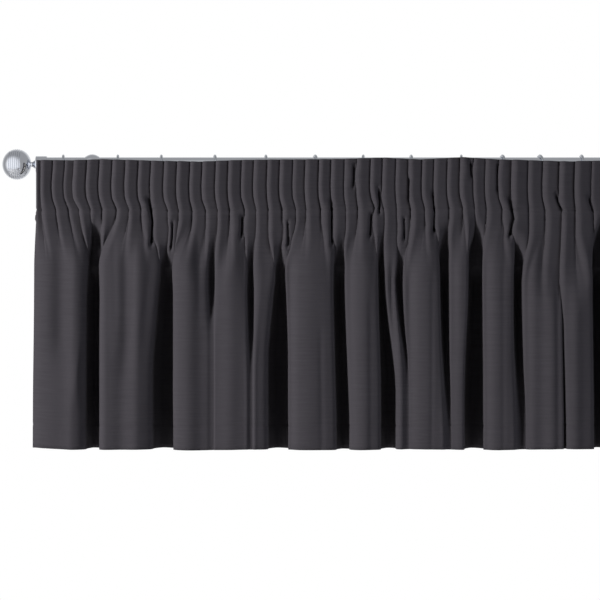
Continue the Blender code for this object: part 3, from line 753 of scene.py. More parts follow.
hem_depths = skirt_plan(np.arange(PLEATS + 1.0), DROP)[1]
print("the hem's folds are", round(float(np.ptp(hem_depths)) / MM, 1), "mm deep")

# %% [markdown]
# ## Dark slits between the pleats
#
# Here and there two pleats lean together and leave a narrow black slit between them. Each one is a
# row of a table: its place at its top, middle and foot, how far down it reaches and how wide it is.
# The cloth on both sides is drawn towards the slit, and the cloth in it is set back.

# %% Slits
SLITS = (
    {"x": (155, 161, 158), "from": 50, "to": 120, "half": 3.2, "deep": 18},
    {"x": (188, 188, 186), "from": 82, "to": 126, "half": 2.4, "deep": 16},
    {"x": (284, 284, 283), "from": 74, "to": 110, "half": 2.2, "deep": 16},
    {"x": (347, 348, 348), "from": 82, "to": 122, "half": 2.2, "deep": 16},
    {"x": (408, 408, 408), "from": 55, "to": 120, "half": 2.2, "deep": 18},
    {"x": (439, 439, 438), "from": 6, "to": 42, "half": 2.0, "deep": 12},
    {"x": (463, 462, 461), "from": 72, "to": 110, "half": 2.0, "deep": 16},
    {"x": (472, 474, 474), "from": 40, "to": 80, "half": 2.4, "deep": 16},
    {"x": (508, 508, 509), "from": 78, "to": 114, "half": 2.0, "deep": 14},
    {"x": (517, 516, 516), "from": 20, "to": 60, "half": 2.0, "deep": 12},
    {"x": (548, 551, 549), "from": 44, "to": 104, "half": 2.4, "deep": 18},
    {"x": (599, 600, 602), "from": 2, "to": 30, "half": 2.0, "deep": 12},
    {"x": (638, 638, 638), "from": 4, "to": 46, "half": 2.0, "deep": 14},
    {"x": (655, 661, 652), "from": 52, "to": 110, "half": 3.0, "deep": 18},
    {"x": (716, 722, 732), "from": 42, "to": 74, "half": 2.0, "deep": 10},
    {"x": (761, 765, 771), "from": 45, "to": 74, "half": 2.0, "deep": 10},
)
SLIT_ENDS = 14 * MM
SLIT_PULL = 0.7
SLIT_REACH = 3

# How far back of the pleats' floor the cloth can go below the tape, and how far below the seam
BACK_ROOM = 9 * MM
BACK_ROOM_GROWS = 20 * MM


def tape_wave(x):
    """How far the tape behind the pleats stands forward at x from the cloth's left edge."""
    grooves = pleat_grooves()
    turn = math.tau * np.interp(x, grooves, np.arange(len(grooves)))
    return TAPE_DEPTH * (1 - np.cos(turn)) / 2


def slit_cloth(x, y, height):
    """Draws the cloth together at each slit and sets it back there."""
    for slit in SLITS:
        start, end = slit["from"] * MM, slit["to"] * MM
        shown = float(ease((height - start) / SLIT_ENDS) * ease((end - height) / SLIT_ENDS))
        middle = np.interp(height, (start, (start + end) / 2, end), slit["x"]) * MM
        half = slit["half"] * MM
        away = x - middle
        y = y + slit["deep"] * MM * shown * bell(away, half)
        x = x - SLIT_PULL * shown * away * bell(away, SLIT_REACH * half)
    behind = BACK_ROOM * ease((height - SEAM) / BACK_ROOM_GROWS) - tape_wave(x)
    return x, np.where(height > FOLDS_FORMED, y, np.minimum(y, PLEAT_FLOOR_Y + behind))


print(len(SLITS), "slits")

# %% [markdown]
# ## From pleats to folds
#
# Between the seam and the place where the folds are formed, each point of the cloth moves from its
# pleat to its fold. It doesn't do so everywhere at once: the faces open first, and each valley follows
# from its own tip downwards. Two blends do this, one for how far the points move sideways and one for
# how far they move in and out.

# %% The sheet's middle surface
# Where the faces start and end to change, in mm below the top, first sideways and then in and out; the
# same for a valley's floor, from the valley's tip; and how much later its walls follow
PLEATS_PART = (66, 150)
FACES_OPEN = (72, 150)
MOUTH_GATHERS = (-20, 56)
VALLEY_OPENS = (-14, 50)
WALL_DELAY = 22

# How far to each side of its floor a valley leads, where its walls stand and how wide they are, in
# pleats
VALLEY_REACH = 1.5
WALL_PLACE = 0.9
WALL_HALF = 0.45


def settled(columns, height, faces, valleys, late=0):
    """How far each column has gone from its pleat to its fold at a height, from 0 to 1.

    faces holds where the folds' faces start and end to change, in mm below the top, and valleys
    where a valley's floor does, from the valley's tip. Columns between the two blend both.
    """
    floors = valley_columns()
    marks = np.concatenate([[0], floors, [columns[-1]]])
    tips = [VALLEYS[0]["tip"], *(valley["tip"] for valley in VALLEYS), VALLEYS[-1]["tip"]]
    tip = np.interp(columns, marks, tips)
    away = np.abs(columns[:, None] - floors).min(axis=1)
    inside = bell(away, VALLEY_REACH)
    start = (1 - inside) * faces[0] + inside * (tip + valleys[0])
    end = (1 - inside) * faces[1] + inside * (tip + valleys[1])
    delay = late * bell(away - WALL_PLACE, WALL_HALF)
    return ease((height / MM - start - delay) / (end - start))


def cloth_points(columns, height):
    """World x, y and z of the cloth's middle surface at one distance below the top."""
    parted = settled(columns, height, PLEATS_PART, MOUTH_GATHERS)
    formed = settled(columns, height, FACES_OPEN, VALLEY_OPENS, WALL_DELAY)
    pleat_x, pleat_y = heading_plan(columns, height)
    fold_x, fold_y = skirt_plan(columns, height)
    x = (1 - parted) * pleat_x + parted * fold_x
    y = (1 - formed) * pleat_y + formed * fold_y
    x, y = slit_cloth(x, y, height)
    places = [edge["x"] * MM for edge in EDGES]
    rise = np.interp(x, places, [edge["rise"] * MM for edge in EDGES])
    fall = np.interp(x, places, [edge["fall"] * MM for edge in EDGES])
    share = height / DROP
    z = TOP - height + (1 - share) ** 2 * rise - share**2 * fall
    return np.stack([LEFT_EDGE + x, y, z], axis=1)


print("folds are formed", FOLDS_FORMED / MM, "mm below the top")

# %% [markdown]
# ## Sewing lines and small creases
#
# The tape's lower row of stitches pulls a fine groove across the pleats, and the hem's row pulls
# another one 33 mm above the edge. Pressing and packing left soft vertical creases in the folds. All
# of these are small hollows pushed in along the surface, with a table for the creases, and a slow
# unevenness of a few tenths of a millimetre keeps the faces from looking ironed flat.

# %% Relief of the surface
HEM = 33 * MM
TAPE_STITCHES = 69 * MM

# The grooves along the two rows of stitches, and the cloth's puff just below the tape's. Their depths
# (below zero: how far out) and half widths are in mm.
GROOVES_ACROSS = (
    {"height": TAPE_STITCHES, "deep": 0.8, "half": 1.8},
    {"height": TAPE_STITCHES + 5 * MM, "deep": -0.4, "half": 5.0},
    {"height": DROP - HEM, "deep": 0.5, "half": 1.8},
)

# The creases, in mm: each one's place and how far it leans to the right, from its start to its end
CREASES = (
    {"x": 393, "from": 225, "to": 400, "lean": 2, "deep": 0.9, "half": 3.5},
    {"x": 461, "from": 180, "to": 400, "lean": 1, "deep": 0.7, "half": 3.0},
    {"x": 547, "from": 150, "to": 400, "lean": -1, "deep": 0.7, "half": 3.0},
    {"x": 645, "from": 130, "to": 400, "lean": 0, "deep": 0.8, "half": 3.0},
    {"x": 719, "from": 140, "to": 400, "lean": 2, "deep": 0.9, "half": 3.5},
    {"x": 136, "from": 100, "to": 230, "lean": -3, "deep": 0.8, "half": 4.0},
    {"x": 107, "from": 90, "to": 210, "lean": 3, "deep": 0.7, "half": 4.0},
    {"x": 222, "from": 80, "to": 200, "lean": 3, "deep": 0.6, "half": 4.0},
    {"x": 579, "from": 90, "to": 260, "lean": 2, "deep": 0.7, "half": 4.0},
    {"x": 801, "from": 100, "to": 260, "lean": -2, "deep": 0.7, "half": 4.0},
)
CREASE_ENDS = 30 * MM

# Two slow waves over the faces, in mm: how deep, and how wide, and how they drift on the way down
WANDER = {"deep": 0.10, "across": 6.3, "down": 52, "drift": 3}
RIPPLE = {"deep": 0.22, "across": 14.1, "down": 85, "drift": 2, "shift": 1.3}
WAVES_GROW = 60 * MM


def relief(x, height):
    """How far the surface is pushed back from the smooth fold, at x from the left edge."""
    deep = 0
    for groove in GROOVES_ACROSS:
        deep = deep + groove["deep"] * MM * bell(height - groove["height"], groove["half"] * MM)
    for crease in CREASES:
        start, end = crease["from"] * MM, crease["to"] * MM
        shown = ease((height - start) / CREASE_ENDS) * ease((end - height) / CREASE_ENDS + 1)
        middle = (crease["x"] + crease["lean"] * (height - start) / (end - start)) * MM
        deep = deep + crease["deep"] * MM * shown * bell(x - middle, crease["half"] * MM)
    drift = WANDER["drift"] * np.sin(height / (WANDER["down"] * MM))
    wander = WANDER["deep"] * np.sin(x / (WANDER["across"] * MM) + drift)
    drift = RIPPLE["shift"] - RIPPLE["drift"] * np.cos(height / (RIPPLE["down"] * MM))
    ripple = RIPPLE["deep"] * np.sin(x / (RIPPLE["across"] * MM) + drift)
    return deep + (wander + ripple) * MM * ease((height - SEAM) / WAVES_GROW)


def surface(columns, heights):
    """Front surface of the cloth: points and unit normals that point to the wall."""
    middle = np.stack([cloth_points(columns, float(height)) for height in heights])
    across = np.gradient(middle, axis=1)
    down = np.gradient(middle, axis=0)
    normals = np.cross(across, down)
    normals /= np.linalg.norm(normals, axis=2, keepdims=True)
    deep = relief(middle[:, :, 0] - LEFT_EDGE, heights[:, None])
    return middle + normals * (deep - CLOTH / 2)[:, :, None], normals


print(len(CREASES), "creases, stitches at", TAPE_STITCHES / MM, "and", (DROP - HEM) / MM, "mm")

# %% [markdown]
# ## The cloth itself
#
# A grid of points, close together where the pleats and stitches are, takes its places from those
# functions. Solidify then gives the sheet its thickness towards the wall. The side hems and the bottom
# hem are turned up at the back, so the sheet is thicker there: a vertex group tells the modifier
# where. The UV map holds metres along the flat cloth, 1.46 m wide, which is what the pleats measure
# when they are pulled out straight.

# %% Helpers for sheets
FLAT_WIDTH = 1.46


def material_uv(mesh, columns, heights):
    """UV in metres along the flat cloth, for a mesh whose points run row by row."""
    u = np.tile(columns / PLEATS * FLAT_WIDTH, len(heights))
    v = np.repeat(-heights, len(columns))
    corners = np.empty(len(mesh.loops), np.int32)
    mesh.loops.foreach_get("vertex_index", corners)
    layer = mesh.uv_layers.new(name="cut_cloth")
    layer.uv.foreach_set("vector", np.stack([u[corners], v[corners]], axis=1).astype(np.float32).ravel())


def grid_sheet(name, points, columns, heights):
    """A sheet of quads through a grid of points, top row first, facing the room."""
    rows, across = points.shape[:2]
    bm = bmesh.new()
    bmesh.ops.create_grid(bm, x_segments=across - 1, y_segments=rows - 1, size=1)
    # Row by row from the top, and each row from left to right, as the points are
    bm.verts.sort(key=lambda vert: -round(vert.co.y * rows) * 10 * across + vert.co.x)
    mesh = bpy.data.meshes.new(name)
    bm.to_mesh(mesh)
    bm.free()
    mesh.vertices.foreach_set("co", points.astype(np.float32).ravel())
    mesh.update()
    if mesh.polygons[0].normal.y > 0:
        mesh.flip_normals()
    material_uv(mesh, columns, heights)
    mesh.shade_smooth()
    made = bpy.data.objects.new(name, mesh)
    bpy.context.scene.collection.objects.link(made)
    return made


def dress(piece, finish, slot, *nodes):
    """Gives a piece its material and its body, and hides the solids it stands for."""
    piece.data.materials.append(finish)
    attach(piece, "root")
    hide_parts(*nodes)


print("flat cloth:", FLAT_WIDTH, "m wide,", round(FLAT_WIDTH / PLEATS / MM), "mm for each pleat")

# %% Make the cloth
COLUMNS_PER_PLEAT = 16
HEM_THICKNESS = 2.0 * MM

# Rows of points, in mm below the top: where each band starts and ends, and how many rows it has
ROW_BANDS = (
    {"from": 0, "to": 60, "rows": 13},
    {"from": 62, "to": 82, "rows": 10},
    {"from": 86, "to": 150, "rows": 14},
    {"from": 165, "to": 360, "rows": 14},
    {"from": 364, "to": 371, "rows": 5},
    {"from": 376, "to": 400, "rows": 5},
)

columns = np.arange(PLEATS * COLUMNS_PER_PLEAT + 1) / COLUMNS_PER_PLEAT
heights = np.concatenate([np.linspace(band["from"], band["to"], band["rows"]) for band in ROW_BANDS]) * MM
front, normals = surface(columns, heights)
cloth = grid_sheet("pleated_cloth", front, columns, heights)

along = columns / PLEATS * FLAT_WIDTH
near_side = np.minimum(along, FLAT_WIDTH - along) < SIDE_HEM
in_hem = near_side[None, :] | (heights[:, None] > DROP - HEM)
weights = np.where(in_hem, 1.0, CLOTH / HEM_THICKNESS).ravel()
layers = cloth.vertex_groups.new(name="layers")
for weight in np.unique(weights):
    layers.add(np.flatnonzero(weights == weight).tolist(), float(weight), "REPLACE")
thickness = cloth.modifiers.new("thickness", "SOLIDIFY")
thickness.thickness = HEM_THICKNESS
thickness.offset = -1
thickness.vertex_group = "layers"
dress(cloth, charcoal, "charcoal_cloth", "valance_cloth")
print("cloth:", len(columns), "by", len(heights), "points,", len(cloth.data.polygons), "faces")

# %% [markdown]
# ## Stitches
#
# Two lines of machine stitches show on the front: the tape's lower row, which pulls the tuck across
# the pleats, and the hem's. A third row holds the tape near the top. Each stitch is 3 mm of dark
# polyester thread that dips into the cloth at both ends. One curve with a round bevel draws them all,
# a short spline for each stitch, laid on the cloth's front surface.

# %% Helpers for stitches and wire
STITCH = 3.0 * MM
STITCH_SPACE = 0.6 * MM
STITCH_MARGIN = 4 * MM
STITCH_COLUMNS = 40
THREAD_RADIUS = 0.2 * MM

# One stitch: shares of its length, and how deep the thread's middle lies there, in thread radii
STITCH_DIP = ((0, 1.0), (0.5, -0.4), (1, 1.0))


def stitch_line(curve, height):
    """Adds one row of stitches, all the way across the cloth at one distance below the top."""
    fine = np.arange(PLEATS * STITCH_COLUMNS + 1) / STITCH_COLUMNS
    near = np.array([height - MM, height, height + MM])
    points, normals = surface(fine, near)
    points, normals = points[1], normals[1]
    run = np.concatenate([[0], np.cumsum(np.linalg.norm(np.diff(points, axis=0), axis=1))])
    starts = np.arange(STITCH_MARGIN, run[-1] - STITCH_MARGIN, STITCH + STITCH_SPACE)
    for start in starts:
        spline = curve.splines.new("POLY")
        spline.points.add(len(STITCH_DIP) - 1)
        for point, (share, dip) in zip(spline.points, STITCH_DIP):
            at = np.interp(start + share * STITCH, run, np.arange(len(fine)))
            place = [np.interp(at, np.arange(len(fine)), points[:, axis]) for axis in range(3)]
            inward = normals[int(at)] * THREAD_RADIUS * dip
            point.co = (*(np.array(place) + inward), 1)
    return len(starts)


def plain_curve(name, radius, around):
    """A curve object with a round bevel, ready for its splines."""
    curve = bpy.data.curves.new(name, "CURVE")
    curve.dimensions = "3D"
    curve.bevel_depth = radius
    curve.bevel_resolution = around
    curve.use_fill_caps = True
    made = bpy.data.objects.new(name, curve)
    bpy.context.scene.collection.objects.link(made)
    return made


print("a stitch every", round((STITCH + STITCH_SPACE) / MM, 1), "mm")

# %% Make the stitches
STITCH_ROWS = (6 * MM, TAPE_STITCHES, DROP - HEM)
THREAD_TWIST = 0.4 * MM
TWIST_HEIGHT = 0.05 * MM

thread, tree, shader = new_material(
    "dark_polyester_thread",
    Base_Color=linear("#37343a"),
    Roughness=0.6,
    IOR=1.55,
    Specular_IOR_Level=0.2,
)
twist = add(tree, "ShaderNodeTexNoise", {"Scale": 1 / THREAD_TWIST, "Detail": 1.0})
twisted = add(
    tree,
    "ShaderNodeBump",
    {"Strength": 0.4, "Distance": TWIST_HEIGHT, "Height": twist.outputs[0]},
)
tree.links.new(twisted.outputs[0], shader.inputs["Normal"])

stitches = plain_curve("machine_stitches", THREAD_RADIUS, 0)
counts = [stitch_line(stitches.data, height) for height in STITCH_ROWS]
dress(stitches, thread, "charcoal_cloth", "valance_cloth")
print("stitches in each row:", counts)

# %% [markdown]
# ## Gathering tape
#
# Behind the heading sits the tape that makes the pleats: a white woven polyester band, 67 mm deep, with
# three cords in it that are pulled to gather the cloth. It waves in time with the pleats but less
# deeply, and it can't be seen from the room. The sheet is built with the same functions, with a soft
# ridge over each cord.

# %% Tape material
FLECK = (3 * MM, 0.8 * MM)
PICK_HEIGHT = 0.12 * MM

webbing, tree, shader = new_material(
    "white_woven_tape",
    Roughness=0.8,
    IOR=1.5,
    Specular_IOR_Level=0.2,
    Sheen_Weight=0.1,
    Sheen_Roughness=0.4,
)
flat = add(tree, "ShaderNodeUVMap", uv_map="cut_cloth").outputs[0]
picks = thread_wave(tree, flat, "Y")
fleck = stretched_noise(tree, flat, *FLECK, 1.0)
shade = mixed(tree, fleck.outputs[0], linear("#d2cfc6"), linear("#e4e2db"))
tree.links.new(shade, shader.inputs["Base Color"])
picked = add(
    tree,
    "ShaderNodeBump",
    {"Strength": 0.5, "Distance": PICK_HEIGHT, "Height": picks.outputs["Fac"]},
)
tree.links.new(picked.outputs[0], shader.inputs["Normal"])
print("flecks, mm:", [round(side / MM, 1) for side in FLECK])

# %% Make the tape
TAPE = 0.8 * MM
TAPE_GAP = 1.2 * MM
TAPE_TOP = 4 * MM
TAPE_FOOT = 71 * MM
TAPE_COLUMNS = 8
TAPE_ROWS = 32
CORDS = (12 * MM, 35 * MM, 58 * MM)
CORD_HALF = 2 * MM
CORD_RIDGE = 0.5 * MM


def tape_sheet():
    """The tape's front surface as a grid of points, top row first, with its columns and heights."""
    wave = np.arange(PLEATS * TAPE_COLUMNS + 1) / TAPE_COLUMNS
    rows = np.linspace(TAPE_TOP, TAPE_FOOT, TAPE_ROWS)
    grooves = pleat_grooves()
    x = np.interp(wave, np.arange(len(grooves)), grooves)
    y = PLEAT_FLOOR_Y + CLOTH / 2 + TAPE_GAP - tape_wave(x)
    points = np.empty((len(rows), len(wave), 3))
    points[:, :, 0] = LEFT_EDGE + x
    ridge = sum(bell(rows - cord, CORD_HALF) for cord in CORDS) * CORD_RIDGE
    points[:, :, 1] = y[None, :] + ridge[:, None]
    points[:, :, 2] = TOP - rows[:, None]
    return points, wave, rows


points, wave, rows = tape_sheet()
tape = grid_sheet("gathering_tape", points, wave, rows)
thickness = tape.modifiers.new("thickness", "SOLIDIFY")
thickness.thickness = TAPE
thickness.offset = -1
dress(tape, webbing, "white_webbing", "heading_tape")

# %% [markdown]
# ## Polished metal
#
# The pole, finials and brackets are steel with a bright nickel or chrome plating: neutral with a faint
# blue cast, and smooth enough to mirror the bright room and its dark doorway. A fine noise in the
# roughness stands for wiped marks. The rings and hooks are plain drawn wire, a little duller.

# %% Metal materials
MARKS_PER_METRE = 90
MARK_DEPTH = 0.02 * MM


def polished_metal(name, colour, roughness, wiped):
    """Plated metal whose roughness varies a little, with a very fine unevenness."""
    made, tree, shader = new_material(name, Base_Color=linear(colour), Metallic=1.0)
    place = add(tree, "ShaderNodeTexCoord").outputs["Object"]
    marks = add(tree, "ShaderNodeTexNoise", {"Vector": place, "Scale": MARKS_PER_METRE, "Detail": 3.0})
    dull = add(
        tree,
        "ShaderNodeMapRange",
        {"Value": marks.outputs[0], "To Min": roughness, "To Max": roughness + wiped},
    )
    tree.links.new(dull.outputs[0], shader.inputs["Roughness"])
    uneven = add(
        tree,
        "ShaderNodeBump",
        {"Strength": 0.15, "Distance": MARK_DEPTH, "Height": marks.outputs[0]},
    )
    tree.links.new(uneven.outputs[0], shader.inputs["Normal"])
    return made


chrome = polished_metal("polished_chrome_plate", "#dcdfe6", 0.06, 0.05)
wire_steel = polished_metal("drawn_steel_wire", "#c2c6cd", 0.2, 0.12)
print("wiped marks, mm apart:", round(1 / MARKS_PER_METRE / MM))

# %% [markdown]
# ## Turned parts
#
# Pole, finials and brackets are turned on a lathe or look as if they were, so one function spins a
# profile about an axis into a closed body. The profile is a short list of (place along the axis,
# radius) points. A small bevel takes the hard edges off, as tumbling and polishing do.

# %% Helpers for turned parts
WALL_TO_POLE = 75 * MM
EDGE_BEVEL = 0.35 * MM
SHARP_EDGE = 35


def turned(profile, axis, sides, place, turn=0.0):
    """A closed body of revolution about X or Y, turned about Z in degrees and moved to its place."""
    bm = bmesh.new()
    verts = []
    for along, radius in profile:
        verts.append(bm.verts.new((along, 0, radius) if axis == "X" else (0, along, radius)))
    # A profile that starts on the axis also ends on it, and any other is closed to a loop.
    edges = [bm.edges.new(pair) for pair in zip(verts, verts[1:])]
    if profile[0][1] > 0:
        edges.append(bm.edges.new((verts[-1], verts[0])))
    bmesh.ops.spin(
        bm,
        geom=verts + edges,
        cent=(0, 0, 0),
        axis=(1, 0, 0) if axis == "X" else (0, 1, 0),
        angle=math.tau,
        steps=sides,
        use_merge=True,
    )
    bmesh.ops.remove_doubles(bm, verts=bm.verts, dist=1e-6)
    bmesh.ops.recalc_face_normals(bm, faces=bm.faces)
    spun = Matrix.Rotation(math.radians(turn), 3, "Z")
    bmesh.ops.rotate(bm, verts=bm.verts, cent=(0, 0, 0), matrix=spun)
    bmesh.ops.translate(bm, verts=bm.verts, vec=place)
    return bm


def solid(name, bodies, bevel=EDGE_BEVEL):
    """One object from a few closed bodies, shaded smooth, with its sharp edges eased."""
    whole = bmesh.new()
    mesh = bpy.data.meshes.new(name)
    for bm in bodies:
        bm.to_mesh(mesh)
        bm.free()
        whole.from_mesh(mesh)
    whole.to_mesh(mesh)
    whole.free()
    mesh.shade_smooth()
    made = bpy.data.objects.new(name, mesh)
    bpy.context.scene.collection.objects.link(made)
    if bevel:
        eased = made.modifiers.new("eased_edges", "BEVEL")
        eased.width = bevel
        eased.segments = 3
        eased.limit_method = "ANGLE"
        eased.angle_limit = math.radians(SHARP_EDGE)
        eased.harden_normals = True
    return made


print("edges eased by", EDGE_BEVEL / MM, "mm")

# %% [markdown]
# ## Pole and finials
#
# The pole is a plain 20 mm tube. Each end carries a ball 43 mm across, slightly flattened along the
# pole, with six turned grooves, then a thin neck, a bell and a collar that sleeves the pole. The
# grooves are shallow cosine hollows, which catch a line of light on one side and a line of shade on
# the other. The same profile, mirrored, makes the right one.

# %% Profile of a finial
POLE_RADIUS = 10 * MM
POLE_LENGTH = 872 * MM
POLE_BORE = 10.3 * MM
BALL_RADIUS = 21.4 * MM
BALL_HALF_LENGTH = 20.2 * MM
BALL_PLACE = 465.3 * MM
GROOVES = 6
GROOVE_PITCH = 2.9 * MM
GROOVE_FIRST = -8.9 * MM
GROOVE_WIDTH = 1.5 * MM
GROOVE_DEPTH = 1.1 * MM
PROFILE_STEP = 0.18 * MM
FIRST_STEP = 0.2 * MM
TIP_ANGLES = np.radians(np.arange(0, 60, 5))
NECK_RADIUS = 3.3 * MM
NECK_LENGTH = 0.8 * MM
BELL_RADIUS = 7.6 * MM
BELL_SHARES = np.linspace(0, 1, 9)
BELL_CURVE = 1.4
COLLAR_RADIUS = 11.6 * MM
COLLAR_START = 26.9 * MM
COLLAR_END = 41.8 * MM
POLE_ENDS_GAP = 0.3 * MM


def ball_and_neck():
    """Profile of the finial from its free end to the bottom of its bore."""
    tip = [(-BALL_HALF_LENGTH * math.cos(a), BALL_RADIUS * math.sin(a)) for a in TIP_ANGLES]
    neck_joint = BALL_HALF_LENGTH * math.sqrt(1 - (NECK_RADIUS / BALL_RADIUS) ** 2)
    ribbed = []
    for along in np.arange(tip[-1][0] + FIRST_STEP, neck_joint, PROFILE_STEP):
        number = np.clip(round((along - GROOVE_FIRST) / GROOVE_PITCH), 0, GROOVES - 1)
        away = min(1, abs(along - GROOVE_FIRST - number * GROOVE_PITCH) / (GROOVE_WIDTH / 2))
        hollow = GROOVE_DEPTH * (1 + math.cos(math.pi * away)) / 2
        surface = BALL_RADIUS * math.sqrt(1 - (along / BALL_HALF_LENGTH) ** 2)
        ribbed.append((along, surface - hollow))
    bell_start = BALL_HALF_LENGTH + NECK_LENGTH
    bell_length = COLLAR_START - bell_start
    wider = BELL_RADIUS - NECK_RADIUS
    flare = [
        (bell_start + bell_length * share, NECK_RADIUS + wider * share**BELL_CURVE)
        for share in BELL_SHARES
    ]
    bore_end = BALL_PLACE - POLE_LENGTH / 2 - POLE_ENDS_GAP
    sleeve = [
        (COLLAR_START, COLLAR_RADIUS),
        (COLLAR_END, COLLAR_RADIUS),
        (COLLAR_END, POLE_BORE),
        (bore_end, POLE_BORE),
        (bore_end, 0),
    ]
    return tip + ribbed + [(neck_joint, NECK_RADIUS)] + flare + sleeve


print("finial profile:", len(ball_and_neck()), "points")

# %% Make the pole and the finials
half = POLE_LENGTH / 2
tube = ((-half, 0), (-half, POLE_RADIUS), (half, POLE_RADIUS), (half, 0))
pole = solid("chrome_pole", [turned(tube, "X", 96, (0, -WALL_TO_POLE, 0))])
dress(pole, chrome, "polished_steel", "pole")
for side, turn in (("left", 0), ("right", 180)):
    middle = -BALL_PLACE if side == "left" else BALL_PLACE
    body = turned(ball_and_neck(), "X", 96, (middle, -WALL_TO_POLE, 0), turn)
    finial = solid(f"ribbed_ball_{side}", [body])
    dress(finial, chrome, "polished_steel", f"finial_{side}")
print("pole, mm:", round(POLE_LENGTH / MM), "long and", round(2 * POLE_RADIUS / MM), "thick")

# %% [markdown]
# ## Brackets
#
# The photo shows only the top of the left holder, a rounded barrel that the pole lies in. Behind the
# cloth a slim arm leads from it to a round plate on the wall, low enough that the cloth hides it.
# Both are turned shapes: plate, cove and arm about the arm's axis, and the holder about the pole's.

# %% Profiles of a bracket
HOLDER_RADIUS = 14.2 * MM
HOLDER_HALF_LENGTH = 14.3 * MM
HOLDER_LIP_RADIUS = 11.2 * MM
HOLDER_LIP_END = 9.5 * MM
DOME_POINTS = 33
PLATE_RADIUS = 17 * MM
PLATE_THICKNESS = 5 * MM
PLATE_RIM = 2 * MM
PLATE_COVE = 7 * MM
ARM_RADIUS = 5 * MM
ARM_DROP = 7 * MM
ARM_END = -WALL_TO_POLE + 4.75 * MM


def holder():
    """Profile of the barrel round the pole, bored through."""
    dome_end = HOLDER_HALF_LENGTH * math.sqrt(1 - (HOLDER_LIP_RADIUS / HOLDER_RADIUS) ** 2)
    dome = [
        (along, HOLDER_RADIUS * math.sqrt(1 - (along / HOLDER_HALF_LENGTH) ** 2))
        for along in np.linspace(-dome_end, dome_end, DOME_POINTS)
    ]
    lip = [(-HOLDER_LIP_END, POLE_BORE), (-HOLDER_LIP_END, HOLDER_LIP_RADIUS)]
    return lip + dome + [(-along, radius) for along, radius in reversed(lip)]


def plate_and_arm():
    """Profile of the wall plate, its cove and the arm, from the wall forwards."""
    cove = [
        (
            -PLATE_THICKNESS - PLATE_COVE * (1 - math.cos(a)),
            ARM_RADIUS + PLATE_COVE * (1 - math.sin(a)),
        )
        for a in np.radians(np.arange(0, 91, 9))
    ]
    rim = [
        (-PLATE_THICKNESS + PLATE_RIM * (1 - math.sin(a)), PLATE_RADIUS - PLATE_RIM * (1 - math.cos(a)))
        for a in np.radians(np.arange(0, 91, 15))
    ]
    return [(0, 0), (0, PLATE_RADIUS)] + rim + cove + [(ARM_END, ARM_RADIUS), (ARM_END, 0)]


print("holder profile:", len(holder()), "points, plate and arm:", len(plate_and_arm()))

# %% Make the brackets
BRACKET_PLACE = 360 * MM

for side, middle in (("left", -BRACKET_PLACE), ("right", BRACKET_PLACE)):
    barrel = turned(holder(), "X", 64, (middle, -WALL_TO_POLE, 0))
    arm = turned(plate_and_arm(), "Y", 64, (middle, 0, -ARM_DROP))
    bracket = solid(f"barrel_bracket_{side}", [barrel, arm])
    dress(bracket, chrome, "polished_steel", f"bracket_{side}")
print("plate top at", (PLATE_RADIUS - ARM_DROP) / MM, "mm over the pole's axis")

# %% [markdown]
# ## Rings and hooks
#
# Each ring is bent from 3.6 mm wire and hangs on the pole at its own slight turn, as rings do when a
# curtain is pushed along. A small eye is welded under it, and a wire hook goes from the eye down into
# the tape. A torus spun from a small circle makes both rounds; a bevelled curve makes the hook.

# %% Helpers for rings and hooks
RING_RADIUS = 15.5 * MM
RING_WIRE = 1.8 * MM
RING_DROP = 3.4 * MM
EYE_RADIUS = 3.2 * MM
EYE_WIRE = 1.0 * MM
EYE_HEIGHT = -RING_DROP - RING_RADIUS - RING_WIRE - EYE_RADIUS
HOOK_WIRE = 0.75 * MM
HOOK_IN_EYE = 0.8 * MM
HOOK_PRONG = 24 * MM
HOOK_END = 6 * MM
HOOK_BEND = 2 * MM
HOOK_STEPS = 5
HOOK_TO_TAPE = 0.3 * MM

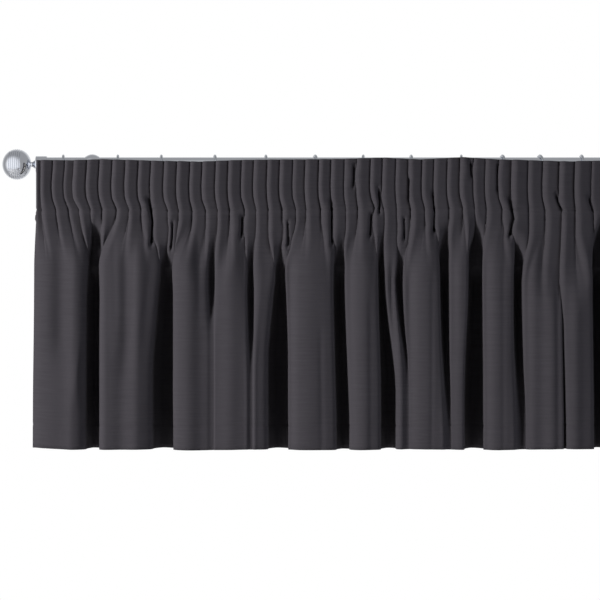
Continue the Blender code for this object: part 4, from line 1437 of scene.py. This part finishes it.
# Each ring: its place along the pole in mm, and its turn in degrees
RINGS = (
    {"x": -400.5, "turn": 5},
    {"x": -324.4, "turn": 4},
    {"x": -263.9, "turn": 6},
    {"x": -189.2, "turn": 8},
    {"x": -118.1, "turn": 5},
    {"x": -49.4, "turn": 11},
    {"x": 18.0, "turn": -6},
    {"x": 84.5, "turn": 4},
    {"x": 154.6, "turn": -5},
    {"x": 211.8, "turn": 9},
    {"x": 264.1, "turn": 12},
    {"x": 322.1, "turn": 4},
    {"x": 400.5, "turn": -5},
)


def wire_round(radius, wire, around, axis, place, turn):
    """A closed ring of round wire about X or Y."""
    angles = np.radians(np.arange(0, 360, 30))
    outline = [(wire * math.cos(a), radius + wire * math.sin(a)) for a in angles]
    return turned(outline, axis, around, place, turn)


def hook_route():
    """Places (y, z) along the hook: up the back of the tape, through the eye, and down again."""
    prong_y = PLEAT_FLOOR_Y + CLOTH / 2 + TAPE_GAP + TAPE + HOOK_TO_TAPE + HOOK_WIRE
    through = EYE_HEIGHT - HOOK_IN_EYE
    return (
        (prong_y, through - HOOK_PRONG),
        (prong_y, through - 3 * HOOK_BEND),
        (prong_y + HOOK_BEND, through - HOOK_BEND),
        (prong_y + 3.5 * HOOK_BEND, through),
        (-WALL_TO_POLE + HOOK_END - 1.5 * HOOK_BEND, through),
        (-WALL_TO_POLE + HOOK_END - 0.25 * HOOK_BEND, through - HOOK_BEND),
        (-WALL_TO_POLE + HOOK_END, through - 3 * HOOK_BEND),
    )


print("ring eyes hang", round(-EYE_HEIGHT / MM, 1), "mm below the pole's axis")

# %% Make the rings and the hooks
for number, ring in enumerate(RINGS, 1):
    x = ring["x"] * MM
    hoop = wire_round(RING_RADIUS, RING_WIRE, 56, "X", (x, -WALL_TO_POLE, -RING_DROP), ring["turn"])
    eye = wire_round(EYE_RADIUS, EYE_WIRE, 24, "Y", (x, -WALL_TO_POLE, EYE_HEIGHT), ring["turn"])
    made = solid(f"wire_ring_{number:02d}", [hoop, eye], bevel=0)
    dress(made, wire_steel, "steel_wire", f"ring_{number:02d}")
    hook = plain_curve(f"wire_hook_{number:02d}", HOOK_WIRE, 2)
    spline = hook.data.splines.new("POLY")
    bent = smooth_curve(hook_route(), HOOK_STEPS)
    spline.points.add(len(bent) - 1)
    for point, (y, z) in zip(spline.points, bent):
        point.co = (x, y, z, 1)
    dress(hook, wire_steel, "steel_wire", f"hook_{number:02d}")

print(len(RINGS), "rings and hooks")
